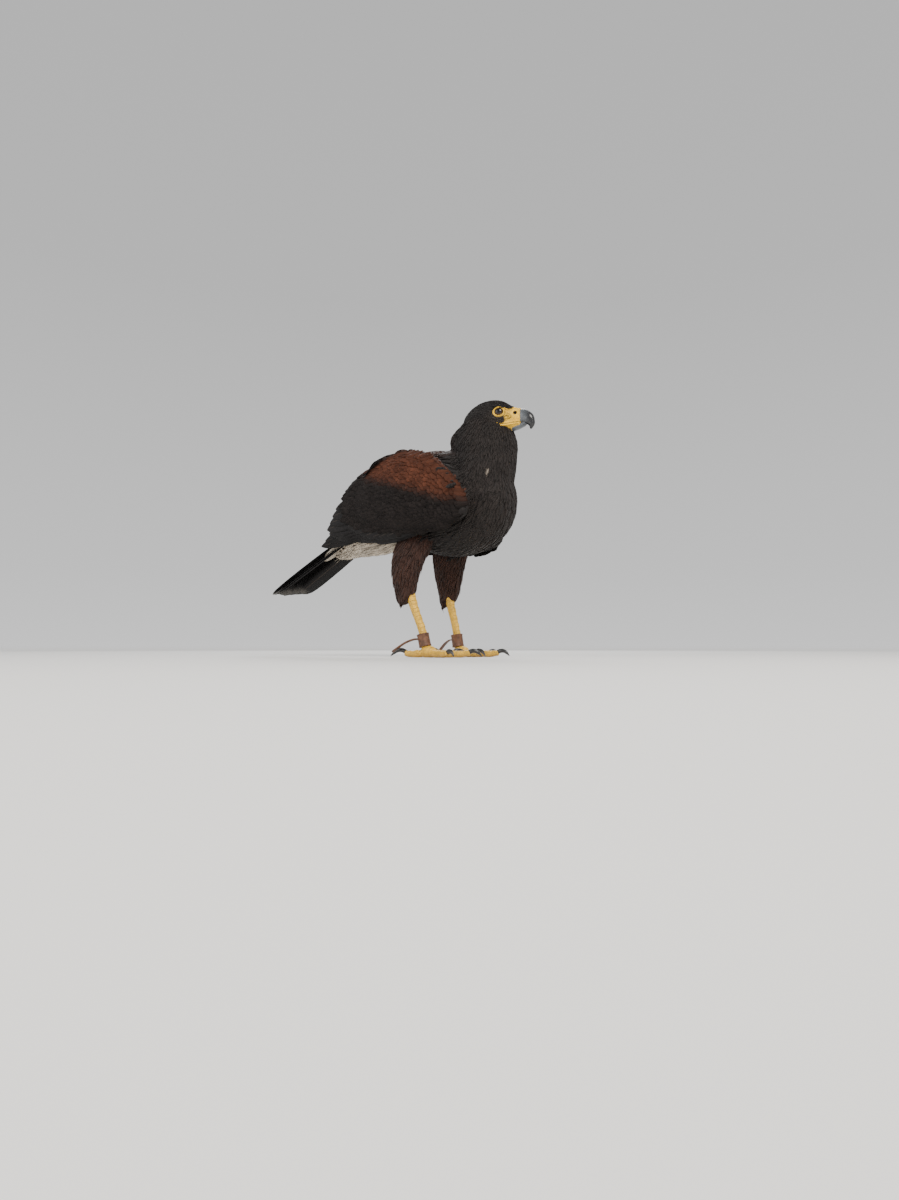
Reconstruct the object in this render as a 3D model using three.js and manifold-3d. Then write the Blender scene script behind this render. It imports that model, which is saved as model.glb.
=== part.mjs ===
// A Harris's hawk standing still on both feet, life size, in millimetres.
// +X is the way the bird faces, +Y is its left, +Z is up, and the floor is at z = 0.
// The origin is under the middle of the bird. Each named mesh is one closed piece.
import * as THREE from "three";
import { mergeVertices } from "three/addons/utils/BufferGeometryUtils.js";
import Module from "manifold-3d";

const wasm = await Module();
wasm.setup();

// Driving sizes
const gap = 0.3; // room left between touching pieces
const vaneThick = 0.7; // thickness of a flight or tail feather
const vanePitch = 1.05; // depth from one stacked feather to the next
const ridge = 0.5; // height of a feather's shaft over its vane
const tail = { length: 222, slope: 28.5, base: [-74, 192], count: 12, rounding: 26 };
const legs = {
  right: { side: -1, foot: [-4, -31], hock: [-31, -33, 84], thigh: -33, turn: 18 },
  left: { side: 1, foot: [7, 30], hock: [-15, 32, 87], thigh: -12, turn: 5 },
};
const tarsusRadius = 4.5;
const padHeight = 8.5; // top of the foot's pad above the floor
const toes = [
  { name: "1", turn: 170, length: 22, claw: 24 },
  { name: "2", turn: 32, length: 25, claw: 20 },
  { name: "3", turn: 0, length: 41, claw: 17 },
  { name: "4", turn: -44, length: 31, claw: 14 },
];
const toeRadius = 4.1;
const eye = { at: [79.5, 13.4, 282], radius: 7.2 };

const random = seeded(7);

// Colours
const finishes = {
  dark: { color: 0x2a1f1b, roughness: 0.8 },
  chestnut: { color: 0x6e3520, roughness: 0.8 },
  flight: { color: 0x211b1a, roughness: 0.7 },
  white: { color: 0xcfc5b0, roughness: 0.85 },
  yellow: { color: 0xe2b13c, roughness: 0.5 },
  horn: { color: 0x3a3e45, roughness: 0.35 },
  claw: { color: 0x16130f, roughness: 0.3 },
  iris: { color: 0x3b2112, roughness: 0.1 },
  leather: { color: 0x4a2c1a, roughness: 0.6 },
};

// A small generator of repeatable numbers from 0 to 1.
function seeded(seed) {
  let state = seed;
  return () => {
    state = (state * 1664525 + 1013904223) % 4294967296;
    return state / 4294967296;
  };
}

function vec(x, y, z) {
  return new THREE.Vector3(x, y, z);
}

// A smooth curve through evenly counted stations, read from 0 to 1.
function smooth(points) {
  return new THREE.CatmullRomCurve3(points, false, "catmullrom", 0.5);
}

// A number that runs smoothly through [place, value] pairs as the place goes up.
function graph(pairs) {
  return (place) => {
    const last = pairs.length - 1;
    if (place <= pairs[0][0]) return pairs[0][1];
    if (place >= pairs[last][0]) return pairs[last][1];
    const i = pairs.findIndex((pair) => pair[0] > place) - 1;
    const share = (place - pairs[i][0]) / (pairs[i + 1][0] - pairs[i][0]);
    const eased = share * share * (3 - 2 * share);
    return pairs[i][1] + (pairs[i + 1][1] - pairs[i][1]) * (0.5 * eased + 0.5 * share);
  };
}

// Turns a closed geometry into a solid that faces outwards.
function solid(geometry) {
  const bare = geometry.clone();
  for (const name of Object.keys(bare.attributes)) {
    if (name !== "position") bare.deleteAttribute(name);
  }
  const merged = mergeVertices(bare, 1e-4);
  const old = merged.index.array;
  const faces = [];
  for (let i = 0; i < old.length; i += 3) {
    const [a, b, c] = [old[i], old[i + 1], old[i + 2]];
    if (a !== b && b !== c && a !== c) faces.push(a, b, c);
  }
  const build = (list) => {
    const shape = { numProp: 3, vertProperties: merged.attributes.position.array, triVerts: new Uint32Array(list) };
    return new wasm.Manifold(new wasm.Mesh(shape));
  };
  const made = build(faces);
  if (made.volume() >= 0) return made;
  for (let i = 0; i < faces.length; i += 3) {
    [faces[i + 1], faces[i + 2]] = [faces[i + 2], faces[i + 1]];
  }
  return build(faces);
}

// A rounded body drawn along a row of stations {at, wide, tall}. Each section lies in the plane of
// across and up. The first and last stations are points. grow adds to every radius.
function body(stations, { across = vec(0, 1, 0), up = vec(0, 0, 1), sides = 20, rows = 18, grow = 0, bend = null }) {
  const spine = smooth(stations.map((s) => vec(...s.at)));
  const sizes = smooth(stations.map((s) => vec(s.wide, s.tall, s.low ?? s.tall)));
  const ball = new THREE.SphereGeometry(1, sides, rows);
  const { position, uv } = ball.attributes;
  const middle = spine.getPoint(0.5);
  for (let i = 0; i < position.count; i++) {
    const share = 1 - uv.getY(i);
    const angle = uv.getX(i) * Math.PI * 2;
    const pole = share < 1e-6 || share > 1 - 1e-6;
    const size = sizes.getPoint(share);
    const centre = spine.getPoint(share);
    const reach = Math.sin(angle) > 0 ? size.y : size.z;
    const wide = pole ? 0 : size.x + grow;
    const tall = pole ? 0 : reach + grow;
    if (pole && grow) centre.add(centre.clone().sub(middle).normalize().multiplyScalar(grow));
    const point = centre
      .clone()
      .addScaledVector(across, Math.cos(angle) * wide)
      .addScaledVector(up, Math.sin(angle) * tall);
    const placed = bend ? bend(point) : point;
    position.setXYZ(i, placed.x, placed.y, placed.z);
  }
  return solid(ball);
}

// A round rod whose radius follows radii along a curve, closed by rounded ends. scale(share, angle)
// may raise its surface.
function rod(points, radii, { sides = 10, rows = 12, grow = 0, flat = 1, scale = () => 1 } = {}) {
  const line = smooth(points.map((p) => vec(...p)));
  const radius = graph(radii);
  const ball = new THREE.SphereGeometry(1, sides, rows);
  const { position, uv } = ball.attributes;
  for (let i = 0; i < position.count; i++) {
    const share = 1 - uv.getY(i);
    const angle = uv.getX(i) * Math.PI * 2;
    const pole = share < 1e-6 || share > 1 - 1e-6;
    const tangent = line.getTangent(share);
    const across = vec(0, 1, 0).addScaledVector(tangent, -tangent.y).normalize();
    const up = tangent.clone().cross(across);
    const size = pole ? 0 : radius(share) * scale(share, angle) + grow;
    const centre = line.getPoint(share);
    if (pole && grow) centre.addScaledVector(tangent, share < 0.5 ? -grow : grow);
    const point = centre
      .addScaledVector(across, Math.cos(angle) * size)
      .addScaledVector(up, Math.sin(angle) * size * flat);
    position.setXYZ(i, point.x, point.y, point.z);
  }
  return solid(ball);
}

// One feather: a thin plate with a raised shaft, split into triangles alike on both faces.
// place(share, lift) gives a point of its shaft, and outward(share) the way its upper face looks.
const vaneShares = [0, 0.2, 0.6, 0.88, 1];
const vaneWidths = [0.4, 0.8, 1, 0.76, 0.16];
function vane({ place, outward, halfWidth, thick = vaneThick, tilt = 0, plain = false, lean = 0 }) {
  const shares = plain ? [0, 0.3, 0.72, 1] : vaneShares;
  const widths = plain ? [0.4, 0.95, 0.9, 0.18] : vaneWidths;
  const columns = plain ? [-1, 1] : [-1, 0, 1];
  const rows = shares.map((share, row) => {
    const step = 0.02;
    const point = place(share);
    const ahead = place(Math.min(1, share + step)).sub(place(Math.max(0, share - step))).normalize();
    const facing = outward(share).normalize();
    const side = facing.clone().cross(ahead).normalize();
    const normal = ahead.clone().cross(side).normalize();
    const turn = THREE.MathUtils.degToRad(tilt);
    const leaned = side.clone().multiplyScalar(Math.cos(turn)).addScaledVector(normal, Math.sin(turn));
    const tipThin = 1 - 0.35 * share;
    return columns.map((column) => {
      const raised = column === 0 ? ridge * tipThin : 0;
      const across = leaned.clone().multiplyScalar(column * halfWidth * widths[row] * (1 + lean * column));
      const middle = point.clone().add(across);
      return [
        middle.clone().addScaledVector(normal, (thick * tipThin) / 2 + raised),
        middle.clone().addScaledVector(normal, (-thick * tipThin) / 2),
      ];
    });
  });
  const count = columns.length;
  const points = rows.flat(2);
  const index = (row, column, face) => (row * count + column) * 2 + face;
  const faces = [];
  const quad = (a, b, c, d) => faces.push(a, b, c, a, c, d);
  for (let r = 0; r + 1 < rows.length; r++) {
    for (let c = 0; c + 1 < count; c++) {
      quad(index(r, c, 0), index(r, c + 1, 0), index(r + 1, c + 1, 0), index(r + 1, c, 0));
      const [a, b, d, e] = [index(r, c, 1), index(r, c + 1, 1), index(r + 1, c + 1, 1), index(r + 1, c, 1)];
      faces.push(a, d, b, a, e, d);
    }
    quad(index(r, 0, 1), index(r, 0, 0), index(r + 1, 0, 0), index(r + 1, 0, 1));
    quad(index(r, count - 1, 0), index(r, count - 1, 1), index(r + 1, count - 1, 1), index(r + 1, count - 1, 0));
  }
  const end = rows.length - 1;
  for (let c = 0; c + 1 < count; c++) {
    quad(index(0, c, 1), index(0, c + 1, 1), index(0, c + 1, 0), index(0, c, 0));
    quad(index(end, c, 0), index(end, c + 1, 0), index(end, c + 1, 1), index(end, c, 1));
  }
  const geometry = new THREE.BufferGeometry();
  geometry.setAttribute("position", new THREE.Float32BufferAttribute(points.flatMap((p) => p.toArray()), 3));
  geometry.setIndex(faces);
  return solid(geometry);
}

function join(pieces) {
  return wasm.Manifold.union(pieces);
}

// The largest closed surface of a solid.
function whole(shape, tolerance = 0.06) {
  const bodies = shape.simplify(tolerance).decompose();
  return bodies.reduce((best, next) => (next.volume() > best.volume() ? next : best));
}

function above(shape, height = 0) {
  return shape.trimByPlane([0, 0, 1], height);
}

const group = new THREE.Group();
function add(name, shape, finish) {
  const mesh = shape.getMesh();
  const geometry = new THREE.BufferGeometry();
  geometry.setAttribute("position", new THREE.BufferAttribute(mesh.vertProperties, 3));
  geometry.setIndex(new THREE.BufferAttribute(mesh.triVerts, 1));
  const made = new THREE.Mesh(geometry, new THREE.MeshStandardMaterial(finishes[finish]));
  made.name = name;
  group.add(made);
}

// Torso, with the breast at the front and the thick back under the wings
function torso(grow = 0) {
  const stations = [
    { at: [92, 0, 184], wide: 0, tall: 0 },
    { at: [87, 0, 183], wide: 20, tall: 27 },
    { at: [72, 0, 182], wide: 33, tall: 46 },
    { at: [48, 0, 181], wide: 39, tall: 58 },
    { at: [14, 0, 181], wide: 40, tall: 62 },
    { at: [-20, 0, 185], wide: 39, tall: 58 },
    { at: [-46, 0, 190], wide: 34, tall: 47 },
    { at: [-68, 0, 192], wide: 26, tall: 34 },
    { at: [-84, 0, 191], wide: 15, tall: 20 },
    { at: [-94, 0, 190], wide: 0, tall: 0 },
  ];
  return join([body(stations, { sides: 18, rows: 16, grow }), mantle(grow)]);
}

// The broad back between the folded wings
function mantle(grow) {
  const stations = [
    { at: [46, 0, 224], wide: 0, tall: 0 },
    { at: [40, 0, 224], wide: 20, tall: 18 },
    { at: [18, 0, 223], wide: 36, tall: 26 },
    { at: [-12, 0, 222], wide: 39, tall: 30 },
    { at: [-42, 0, 217], wide: 38, tall: 29 },
    { at: [-68, 0, 208], wide: 33, tall: 25 },
    { at: [-90, 0, 197], wide: 23, tall: 17 },
    { at: [-102, 0, 190], wide: 0, tall: 0 },
  ];
  return body(stations, { sides: 14, rows: 9, grow });
}

// Neck, stretched up, with a full nape and throat
function neck(grow = 0) {
  const stations = [
    { at: [46, 0, 158], wide: 0, tall: 0 },
    { at: [46, 0, 172], wide: 32, tall: 30 },
    { at: [46, 0, 192], wide: 39, tall: 39.5 },
    { at: [52, 0, 214], wide: 36, tall: 40 },
    { at: [56, 0, 233], wide: 31.5, tall: 39 },
    { at: [54, 0, 248], wide: 29.5, tall: 42.5 },
    { at: [51, 0, 261], wide: 27.5, tall: 42 },
    { at: [55, 0, 274], wide: 24.5, tall: 33 },
    { at: [59, 0, 286], wide: 18, tall: 20 },
    { at: [61, 0, 293], wide: 0, tall: 0 },
  ];
  return body(stations, { up: vec(1, 0, 0), sides: 18, rows: 14, grow });
}

const headStations = [
  { at: [27, 0, 276], wide: 0, tall: 0 },
  { at: [32, 0, 276.5], wide: 11, tall: 11 },
  { at: [42, 0, 278], wide: 18.5, tall: 18 },
  { at: [55, 0, 279.5], wide: 23, tall: 21.8 },
  { at: [68, 0, 280], wide: 23.4, tall: 22.2 },
  { at: [79, 0, 279.3], wide: 20.4, tall: 20.6 },
  { at: [88, 0, 277.5], wide: 14.8, tall: 16.6 },
  { at: [95, 0, 276.5], wide: 9.5, tall: 12 },
  { at: [99, 0, 276], wide: 0, tall: 0 },
];

function skull(grow = 0) {
  return body(headStations, { sides: 16, rows: 12, grow });
}

function ball(x, y, z, radius, sides = 12, rows = 8) {
  return solid(new THREE.SphereGeometry(radius, sides, rows).translate(x, y, z));
}

// The bony ridge over an eye, which gives the frown
function brow(side) {
  const line = [
    [67, side * 19.2, 291.5],
    [77, side * 19, 291.8],
    [86, side * 15, 289.6],
    [93, side * 10.4, 286.6],
  ];
  return rod(line, [[0, 0.6], [0.3, 3], [0.7, 3], [1, 0.8]], { sides: 5, rows: 5, flat: 0.75 });
}

// Two rims that close round an eye
function lid(side, high) {
  const [x, y, z] = eye.at;
  const lift = high ? 1 : -1;
  const rim = [-72, -36, 0, 36, 72].map((degrees) => {
    const turn = THREE.MathUtils.degToRad(degrees);
    const reach = eye.radius * 0.86;
    const out = 5 + 1.2 * Math.cos(turn) - 0.16 * Math.sin(turn) * reach;
    return [x + Math.sin(turn) * reach, side * (y + out), z + lift * Math.cos(turn) * reach * 0.86];
  });
  return rod(rim, [[0, 0.9], [0.5, 1.7], [1, 0.9]], { sides: 5, rows: 5 });
}

// The yellow skin from the bill's root back to the corner of the mouth
function cereBody(grow = 0) {
  const stations = [
    { at: [87, 0, 278], wide: 0, tall: 0 },
    { at: [89, 0, 278], wide: 11.4, tall: 12.5 },
    { at: [93.5, 0, 278.4], wide: 10.2, tall: 12, low: 9.5 },
    { at: [98, 0, 278.4], wide: 8.6, tall: 10.4, low: 8.2 },
    { at: [101.6, 0, 278], wide: 7.2, tall: 9, low: 6.8 },
    { at: [103, 0, 277.8], wide: 0, tall: 0 },
  ];
  return body(stations, { sides: 12, rows: 8, grow });
}

function gape(side) {
  const line = [
    [79, side * 17.6, 268],
    [86, side * 14.2, 268.6],
    [94, side * 9.8, 269.8],
    [101, side * 6.2, 271],
  ];
  return rod(line, [[0, 0.7], [0.25, 2], [0.7, 2.1], [1, 1]], { sides: 6, rows: 6 });
}

function nostril(side) {
  return solid(new THREE.SphereGeometry(1, 8, 5).scale(1.9, 2.2, 1.3).translate(97, side * 9.4, 281));
}

// Upper bill, one deep hook
function upperBill(grow = 0) {
  const line = [
    [97, 0, 278.6],
    [102, 0, 278.4],
    [107.5, 0, 276.4],
    [112, 0, 272.2],
    [114, 0, 267],
    [113, 0, 261.5],
  ];
  return rod(line, [[0, 6.2], [0.2, 6.6], [0.5, 5.6], [0.75, 3.4], [0.92, 1.5], [1, 0.4]], {
    sides: 12,
    rows: 11,
    grow,
    flat: 1.32,
    scale: (share, angle) => 1 - 0.12 * Math.max(0, Math.cos(2 * angle)) * (1 - share),
  });
}

function lowerBill(grow = 0) {
  const line = [
    [84, 0, 266],
    [92, 0, 266.4],
    [100, 0, 267.6],
    [106, 0, 269.2],
    [109, 0, 270.2],
  ];
  return rod(line, [[0, 6], [0.3, 5.8], [0.65, 4.3], [0.9, 2.4], [1, 1]], { sides: 8, rows: 7, grow, flat: 0.62 });
}

// The folded wing's outer surface: how far it stands from the middle plane at (x, z)
const wingReach = graph([
  [-210, 40], [-160, 42], [-130, 45.5], [-100, 50.5], [-70, 57], [-30, 62], [10, 62], [40, 57], [60, 48], [72, 38],
]);
const wingMiddle = graph([[-205, 131], [-160, 156], [-130, 168], [-90, 182], [-40, 188], [10, 187], [70, 176]]);
const wingTall = graph([[-205, 40], [-160, 56], [-120, 66], [-60, 72], [20, 72], [70, 60]]);
const wingDrop = graph([[-130, 0], [-60, 5], [20, 18], [70, 22]]); // the left wing hangs a little at its bend
function wingOut(x, z) {
  const rise = (z - wingMiddle(x)) / wingTall(x);
  return wingReach(x) * Math.sqrt(Math.max(0.12, 1 - rise * rise));
}
function wingNormal(side, x, z) {
  const step = 2;
  const alongX = (wingOut(x + step, z) - wingOut(x - step, z)) / (2 * step);
  const alongZ = (wingOut(x, z + step) - wingOut(x, z - step)) / (2 * step);
  return vec(-alongX, side, -alongZ).normalize();
}
function onWing(side, x, z, lift) {
  const point = vec(x, side * wingOut(x, z), z).addScaledVector(wingNormal(side, x, z), lift);
  if (side > 0) point.z -= wingDrop(x);
  return point;
}

// A feather lying on the folded wing from root to tip, both given as [x, z]
function wingVane(side, root, tip, { halfWidth, lift, tipLift = lift, bow = 0, tilt = 7, plain = false, thick }) {
  const at = (share) => [
    root[0] + (tip[0] - root[0]) * share,
    root[1] + (tip[1] - root[1]) * share - bow * Math.sin(Math.PI * share),
  ];
  return vane({
    place: (share) => onWing(side, ...at(share), lift + (tipLift - lift) * share * share),
    outward: (share) => wingNormal(side, ...at(share)),
    halfWidth,
    tilt: -side * tilt,
    plain,
    thick,
  });
}

// The smooth shield of small coverts over the forearm and shoulder
const shieldEdge = [
  [60, 168], [52, 190], [32, 216], [6, 239], [-26, 249], [-58, 240], [-86, 223],
  [-104, 200], [-102, 176], [-78, 160], [-38, 151], [4, 147], [40, 150],
];
const shieldMiddle = [-18, 192];
const shieldDepth = 20;
const shieldBulge = 1.6;
function shield(side, grow = 0) {
  const edge = new THREE.CatmullRomCurve3(shieldEdge.map(([x, z]) => vec(x, 0, z)), true, "catmullrom", 0.5);
  const disc = new THREE.SphereGeometry(1, 20, 9);
  const { position, uv } = disc.attributes;
  for (let i = 0; i < position.count; i++) {
    const share = 1 - uv.getY(i);
    const rim = edge.getPoint(uv.getX(i) % 1);
    const spread = Math.sin(share * Math.PI);
    const depth = Math.cos(share * Math.PI);
    const far = 1 + grow / 60;
    const x = shieldMiddle[0] + (rim.x - shieldMiddle[0]) * spread * far;
    const z = shieldMiddle[1] + (rim.z - shieldMiddle[1]) * spread * far;
    const lift = depth > 0 ? depth * (shieldBulge + grow) : depth * (shieldDepth + grow);
    const point = onWing(side, x, z, lift);
    position.setXYZ(i, point.x, point.y, point.z);
  }
  return solid(disc);
}

// A smooth curve through [x, z] pairs
function flatCurve(pairs) {
  return smooth(pairs.map(([x, z]) => vec(x, 0, z)));
}

const secondaryRoots = { first: [40, 163], last: [-34, 216], count: 9 };
const secondaryTips = flatCurve([[-80, 141], [-110, 145], [-134, 148], [-146, 159], [-136, 180], [-120, 200]]);
function secondaries(side) {
  const { first, last, count } = secondaryRoots;
  return Array.from({ length: count }, (_, k) => {
    const share = k / (count - 1);
    const tip = secondaryTips.getPoint(share);
    const drift = (random() - 0.5) * 3;
    const root = [first[0] + (last[0] - first[0]) * share, first[1] + (last[1] - first[1]) * share];
    return wingVane(side, root, [tip.x + drift, tip.z + drift * 0.4], {
      halfWidth: 14,
      lift: -2.2,
      bow: 1,
      tilt: 5.5,
      plain: true,
    });
  });
}

const covertRoots = flatCurve([[8, 155], [-30, 156], [-62, 168], [-74, 191], [-64, 222]]);
const covertTips = flatCurve([[-38, 144], [-78, 146], [-108, 160], [-116, 182], [-100, 211]]);
function greaterCoverts(side) {
  const count = 7;
  return Array.from({ length: count }, (_, k) => {
    const share = k / (count - 1);
    const [root, tip] = [covertRoots.getPoint(share), covertTips.getPoint(share)];
    const drift = (random() - 0.5) * 3;
    return wingVane(side, [root.x, root.z], [tip.x + drift, tip.z], {
      halfWidth: 12.5,
      lift: -0.2,
      tipLift: 1.2,
      tilt: 5.5,
      plain: true,
    });
  });
}

// The long shoulder feathers over the back, two of them ruffled up on each side
function scapulars(side) {
  const count = 5;
  return Array.from({ length: count }, (_, k) => {
    const share = k / (count - 1);
    const root = [-4 - 30 * share, 240 - 4 * share];
    const ruffled = k >= 3;
    const tip = [-62 - 67 * share, 244 - 40 * share + (ruffled ? 4 : 0)];
    return wingVane(side, root, tip, {
      halfWidth: 10,
      lift: -0.5,
      tipLift: ruffled ? 6 : 2.4,
      tilt: 6,
      plain: true,
      thick: 0.8,
    });
  });
}

// The hand: folded back under the forearm, with the primaries, their coverts and the thumb feathers
const handLine = [[58, 168], [46, 162], [26, 155], [2, 151], [-16, 150]];
function hand(side) {
  const line = handLine.map(([x, z], i) => onWing(side, x, z, -4 - i * 1.2).toArray());
  return rod(line, [[0, 3], [0.15, 6.4], [0.6, 6.2], [0.9, 5], [1, 2]], { sides: 8, rows: 8 });
}
const primaryTips = [[-118, 163], [-132, 159], [-145, 153], [-155, 147], [-163, 139], [-150, 143]];
const leftReach = { back: 24, down: 2 }; // the left wing's primaries lie farther back
function primaries(side) {
  return primaryTips.map(([x, z], k) => {
    const share = k / (primaryTips.length - 1);
    const root = [30 - 42 * share, 157 - 4 * share];
    const tip = side > 0 ? [x - leftReach.back, z - leftReach.down] : [x, z];
    return wingVane(side, root, tip, {
      halfWidth: 11.5 - 2.5 * share,
      lift: -5.6 - k * vanePitch,
      bow: -2 - 4 * share,
      tilt: 3,
      plain: true,
    });
  });
}
function alula(side) {
  return [0, 1].map((k) => {
    const size = { halfWidth: 5, lift: -4.5 + k * 1.1, tilt: 4, plain: true };
    return wingVane(side, [42, 157 + k], [-10 - 9 * k, 142 + 2 * k], size);
  });
}

// The tail lies on a plane that slopes down behind the bird
const slope = THREE.MathUtils.degToRad(tail.slope);
const tailBack = vec(-Math.cos(slope), 0, -Math.sin(slope));
const tailUp = vec(-Math.sin(slope), 0, Math.cos(slope));
function onTail(along, across, lift) {
  return vec(tail.base[0], across, tail.base[1]).addScaledVector(tailBack, along).addScaledVector(tailUp, lift);
}
function tailFeather(k) {
  const middle = (tail.count - 1) / 2;
  const from = k - middle; // -5.5 to 5.5
  const outer = Math.abs(from) - 0.5; // 0 to 5
  const rootY = from * 1.9;
  const tipY = from * 3.6;
  const length = tail.length - tail.rounding * (outer / 5) ** 2 + (random() - 0.5) * 3;
  const lift = 2.6 - outer * vanePitch - (from > 0 ? 0 : vanePitch / 2);
  return vane({
    place: (share) => onTail(6 + (length - 6) * share, rootY + (tipY - rootY) * share, lift - 3 * share * share),
    outward: () => tailUp.clone(),
    halfWidth: 11,
    lean: from > 0 ? -0.12 : 0.12,
  });
}
function tailRoot(grow = 0) {
  const stations = [
    { at: onTail(0, 0, 0).toArray(), wide: 0, tall: 0 },
    { at: onTail(4, 0, 0).toArray(), wide: 14, tall: 6 },
    { at: onTail(22, 0, 0).toArray(), wide: 19, tall: 7 },
    { at: onTail(44, 0, -0.5).toArray(), wide: 19, tall: 5.5 },
    { at: onTail(60, 0, -0.5).toArray(), wide: 0, tall: 0 },
  ];
  return body(stations, { up: tailUp, sides: 10, rows: 6, grow });
}
// A flat room that holds the whole tail, for cutting its neighbours clear
function tailRoom() {
  const corner = (along, across, lift) => onTail(along, across, lift).toArray();
  const stations = [
    { at: corner(-0.5, 0, 0), wide: 0, tall: 0 },
    { at: corner(-0.4, 0, -0.6), wide: 24, tall: 7.6 },
    { at: corner(60, 0, -0.8), wide: 33, tall: 7.4 },
    { at: corner(130, 0, -1.4), wide: 34, tall: 6.4 },
    { at: corner(220, 0, -2.6), wide: 36, tall: 6 },
    { at: corner(240, 0, -3), wide: 0, tall: 0 },
  ];
  return body(stations, { up: tailUp, sides: 12, rows: 10 });
}

// Rump and the soft pale feathers round the tail's root
function rumpCore() {
  const stations = [
    { at: [-50, 0, 178], wide: 0, tall: 0 },
    { at: [-56, 0, 176], wide: 27, tall: 38 },
    { at: [-80, 0, 164], wide: 28, tall: 34 },
    { at: [-105, 0, 154], wide: 26, tall: 26 },
    { at: [-130, 0, 147], wide: 21, tall: 19.5 },
    { at: [-153, 0, 138], wide: 15, tall: 12.5 },
    { at: [-166, 0, 130], wide: 0, tall: 0 },
  ];
  return body(stations, { sides: 14, rows: 10 });
}
function rumpVanes() {
  const made = [];
  const rows = [
    { count: 3, x: -86, z: 134, reach: 48, drop: -9, spread: 15 },
    { count: 3, x: -112, z: 132, reach: 48, drop: -9, spread: 13 },
    { count: 3, x: -132, z: 131, reach: 50, drop: -14, spread: 12 },
  ];
  for (const { count, x, z, reach, drop, spread } of rows) {
    for (let k = 0; k < count; k++) {
      const from = (k / (count - 1)) * 2 - 1;
      const root = vec(x, from * spread, z + 8 * from * from);
      const tip = vec(x - reach - random() * 5, from * (spread + 4), z + drop + 12 * from * from);
      made.push(
        vane({
          place: (share) => root.clone().lerp(tip, share).add(vec(0, 0, -5 * Math.sin(Math.PI * share) * 0.6)),
          outward: () => vec(0, from * 0.8, -1),
          halfWidth: 9,
          plain: true,
          thick: 1,
        }),
      );
    }
  }
  for (let k = 0; k < 4; k++) {
    const from = (k / 3) * 2 - 1;
    const root = onTail(14, from * 15, 11 - 3 * from * from);
    const tip = onTail(72 + random() * 6, from * 19, 8.4 - 1.5 * from * from);
    made.push(
      vane({
        place: (share) => root.clone().lerp(tip, share),
        outward: () => tailUp.clone().add(vec(0, from * 0.4, 0)),
        halfWidth: 9.5,
        plain: true,
        thick: 1,
      }),
    );
  }
  return made;
}

// A feathered thigh that hides the knee and ends at the hock
function thigh(leg, grow = 0) {
  const { side, thigh: x } = leg;
  const stations = [
    { at: [x + 13, side * 20, 160], wide: 0, tall: 0 },
    { at: [x + 12, side * 21, 152], wide: 12, tall: 20 },
    { at: [x + 7, side * 26, 136], wide: 16, tall: 26 },
    { at: [x + 1, side * 32, 114], wide: 16, tall: 22 },
    { at: [x - 1, side * 35, 93], wide: 12.5, tall: 18 },
    { at: [x - 1, side * 34.5, 77], wide: 9.5, tall: 14.5 },
    { at: [x - 4, side * 34, 66], wide: 6, tall: 9.5 },
    { at: [x - 10, side * 33.5, 60], wide: 0, tall: 0 },
  ];
  return body(stations, { up: vec(1, 0, 0), sides: 12, rows: 12, grow });
}
// Flat locks at the back and foot of the thigh
function thighLocks(leg) {
  const { side, thigh: x } = leg;
  return [0, 1, 2, 3, 4].map((k) => {
    const high = 120 - k * 13;
    const out = side * (34 + (k % 2 ? 5 : -4));
    const root = vec(x - 12 + k * 2, out, high);
    const tip = vec(x - 22 + k * 1.5, out - side * 1, high - 30 - random() * 4);
    return vane({
      place: (share) => root.clone().lerp(tip, share),
      outward: () => vec(-1, side * 0.5, 0),
      halfWidth: 5.5,
      plain: true,
      thick: 1,
    });
  });
}

// Lower leg with a row of plates down its front
const plateCount = 9;
function tarsus(leg, grow = 0) {
  const [footX, footY] = leg.foot;
  const [hockX, hockY, hockZ] = leg.hock;
  const line = [
    [hockX, hockY, hockZ],
    [hockX + (footX - hockX) * 0.3, hockY, hockZ * 0.7],
    [hockX + (footX - hockX) * 0.66, footY, hockZ * 0.38],
    [footX - 4, footY, padHeight + 2],
    [footX - 2, footY, padHeight - 5],
  ];
  const plates = (share, angle) => {
    const step = (share * plateCount) % 1;
    const front = Math.max(0, Math.sin(angle));
    return 1 + 0.12 * front * (step < 0.5 ? 1 : 0);
  };
  const radii = [[0, 5.6], [0.12, 5.2], [0.4, tarsusRadius], [0.8, tarsusRadius + 0.2], [1, 6]];
  return rod(line, radii, { sides: 8, rows: plateCount * 2, grow, scale: grow ? () => 1.12 : plates });
}

// Foot pad and toes, flattened where they stand
function pad(leg, grow = 0) {
  const [x, y] = leg.foot;
  const shape = new THREE.SphereGeometry(1, 10, 6);
  shape.scale(10 + grow, 8.5 + grow, padHeight - 1 + grow).translate(x, y, padHeight - 2);
  return above(solid(shape));
}
// A point beside the foot along a toe's way
function alongToe(leg, toe) {
  const [x, y] = leg.foot;
  const turn = THREE.MathUtils.degToRad(leg.turn - leg.side * toe.turn);
  return (reach, height) => [x + Math.cos(turn) * reach, y + Math.sin(turn) * reach, height];
}
function toeRod(leg, toe, grow = 0) {
  const at = alongToe(leg, toe);
  const end = toe.length;
  const line = [at(2, 5.2), at(8 + end * 0.22, 4.3), at(8 + end * 0.5, 4), at(8 + end * 0.8, 4.2), at(8 + end, 5.4)];
  const bumps = (share, angle) => 1 + 0.16 * Math.cos(share * Math.PI * 3) ** 2 * Math.max(0, -Math.sin(angle));
  const thin = toeRadius * 0.8;
  const radii = [[0, toeRadius], [0.25, toeRadius], [0.7, thin + 0.2], [0.92, thin], [1, 1.4]];
  return above(rod(line, radii, { sides: 8, rows: 6, grow, scale: bumps }));
}
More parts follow.
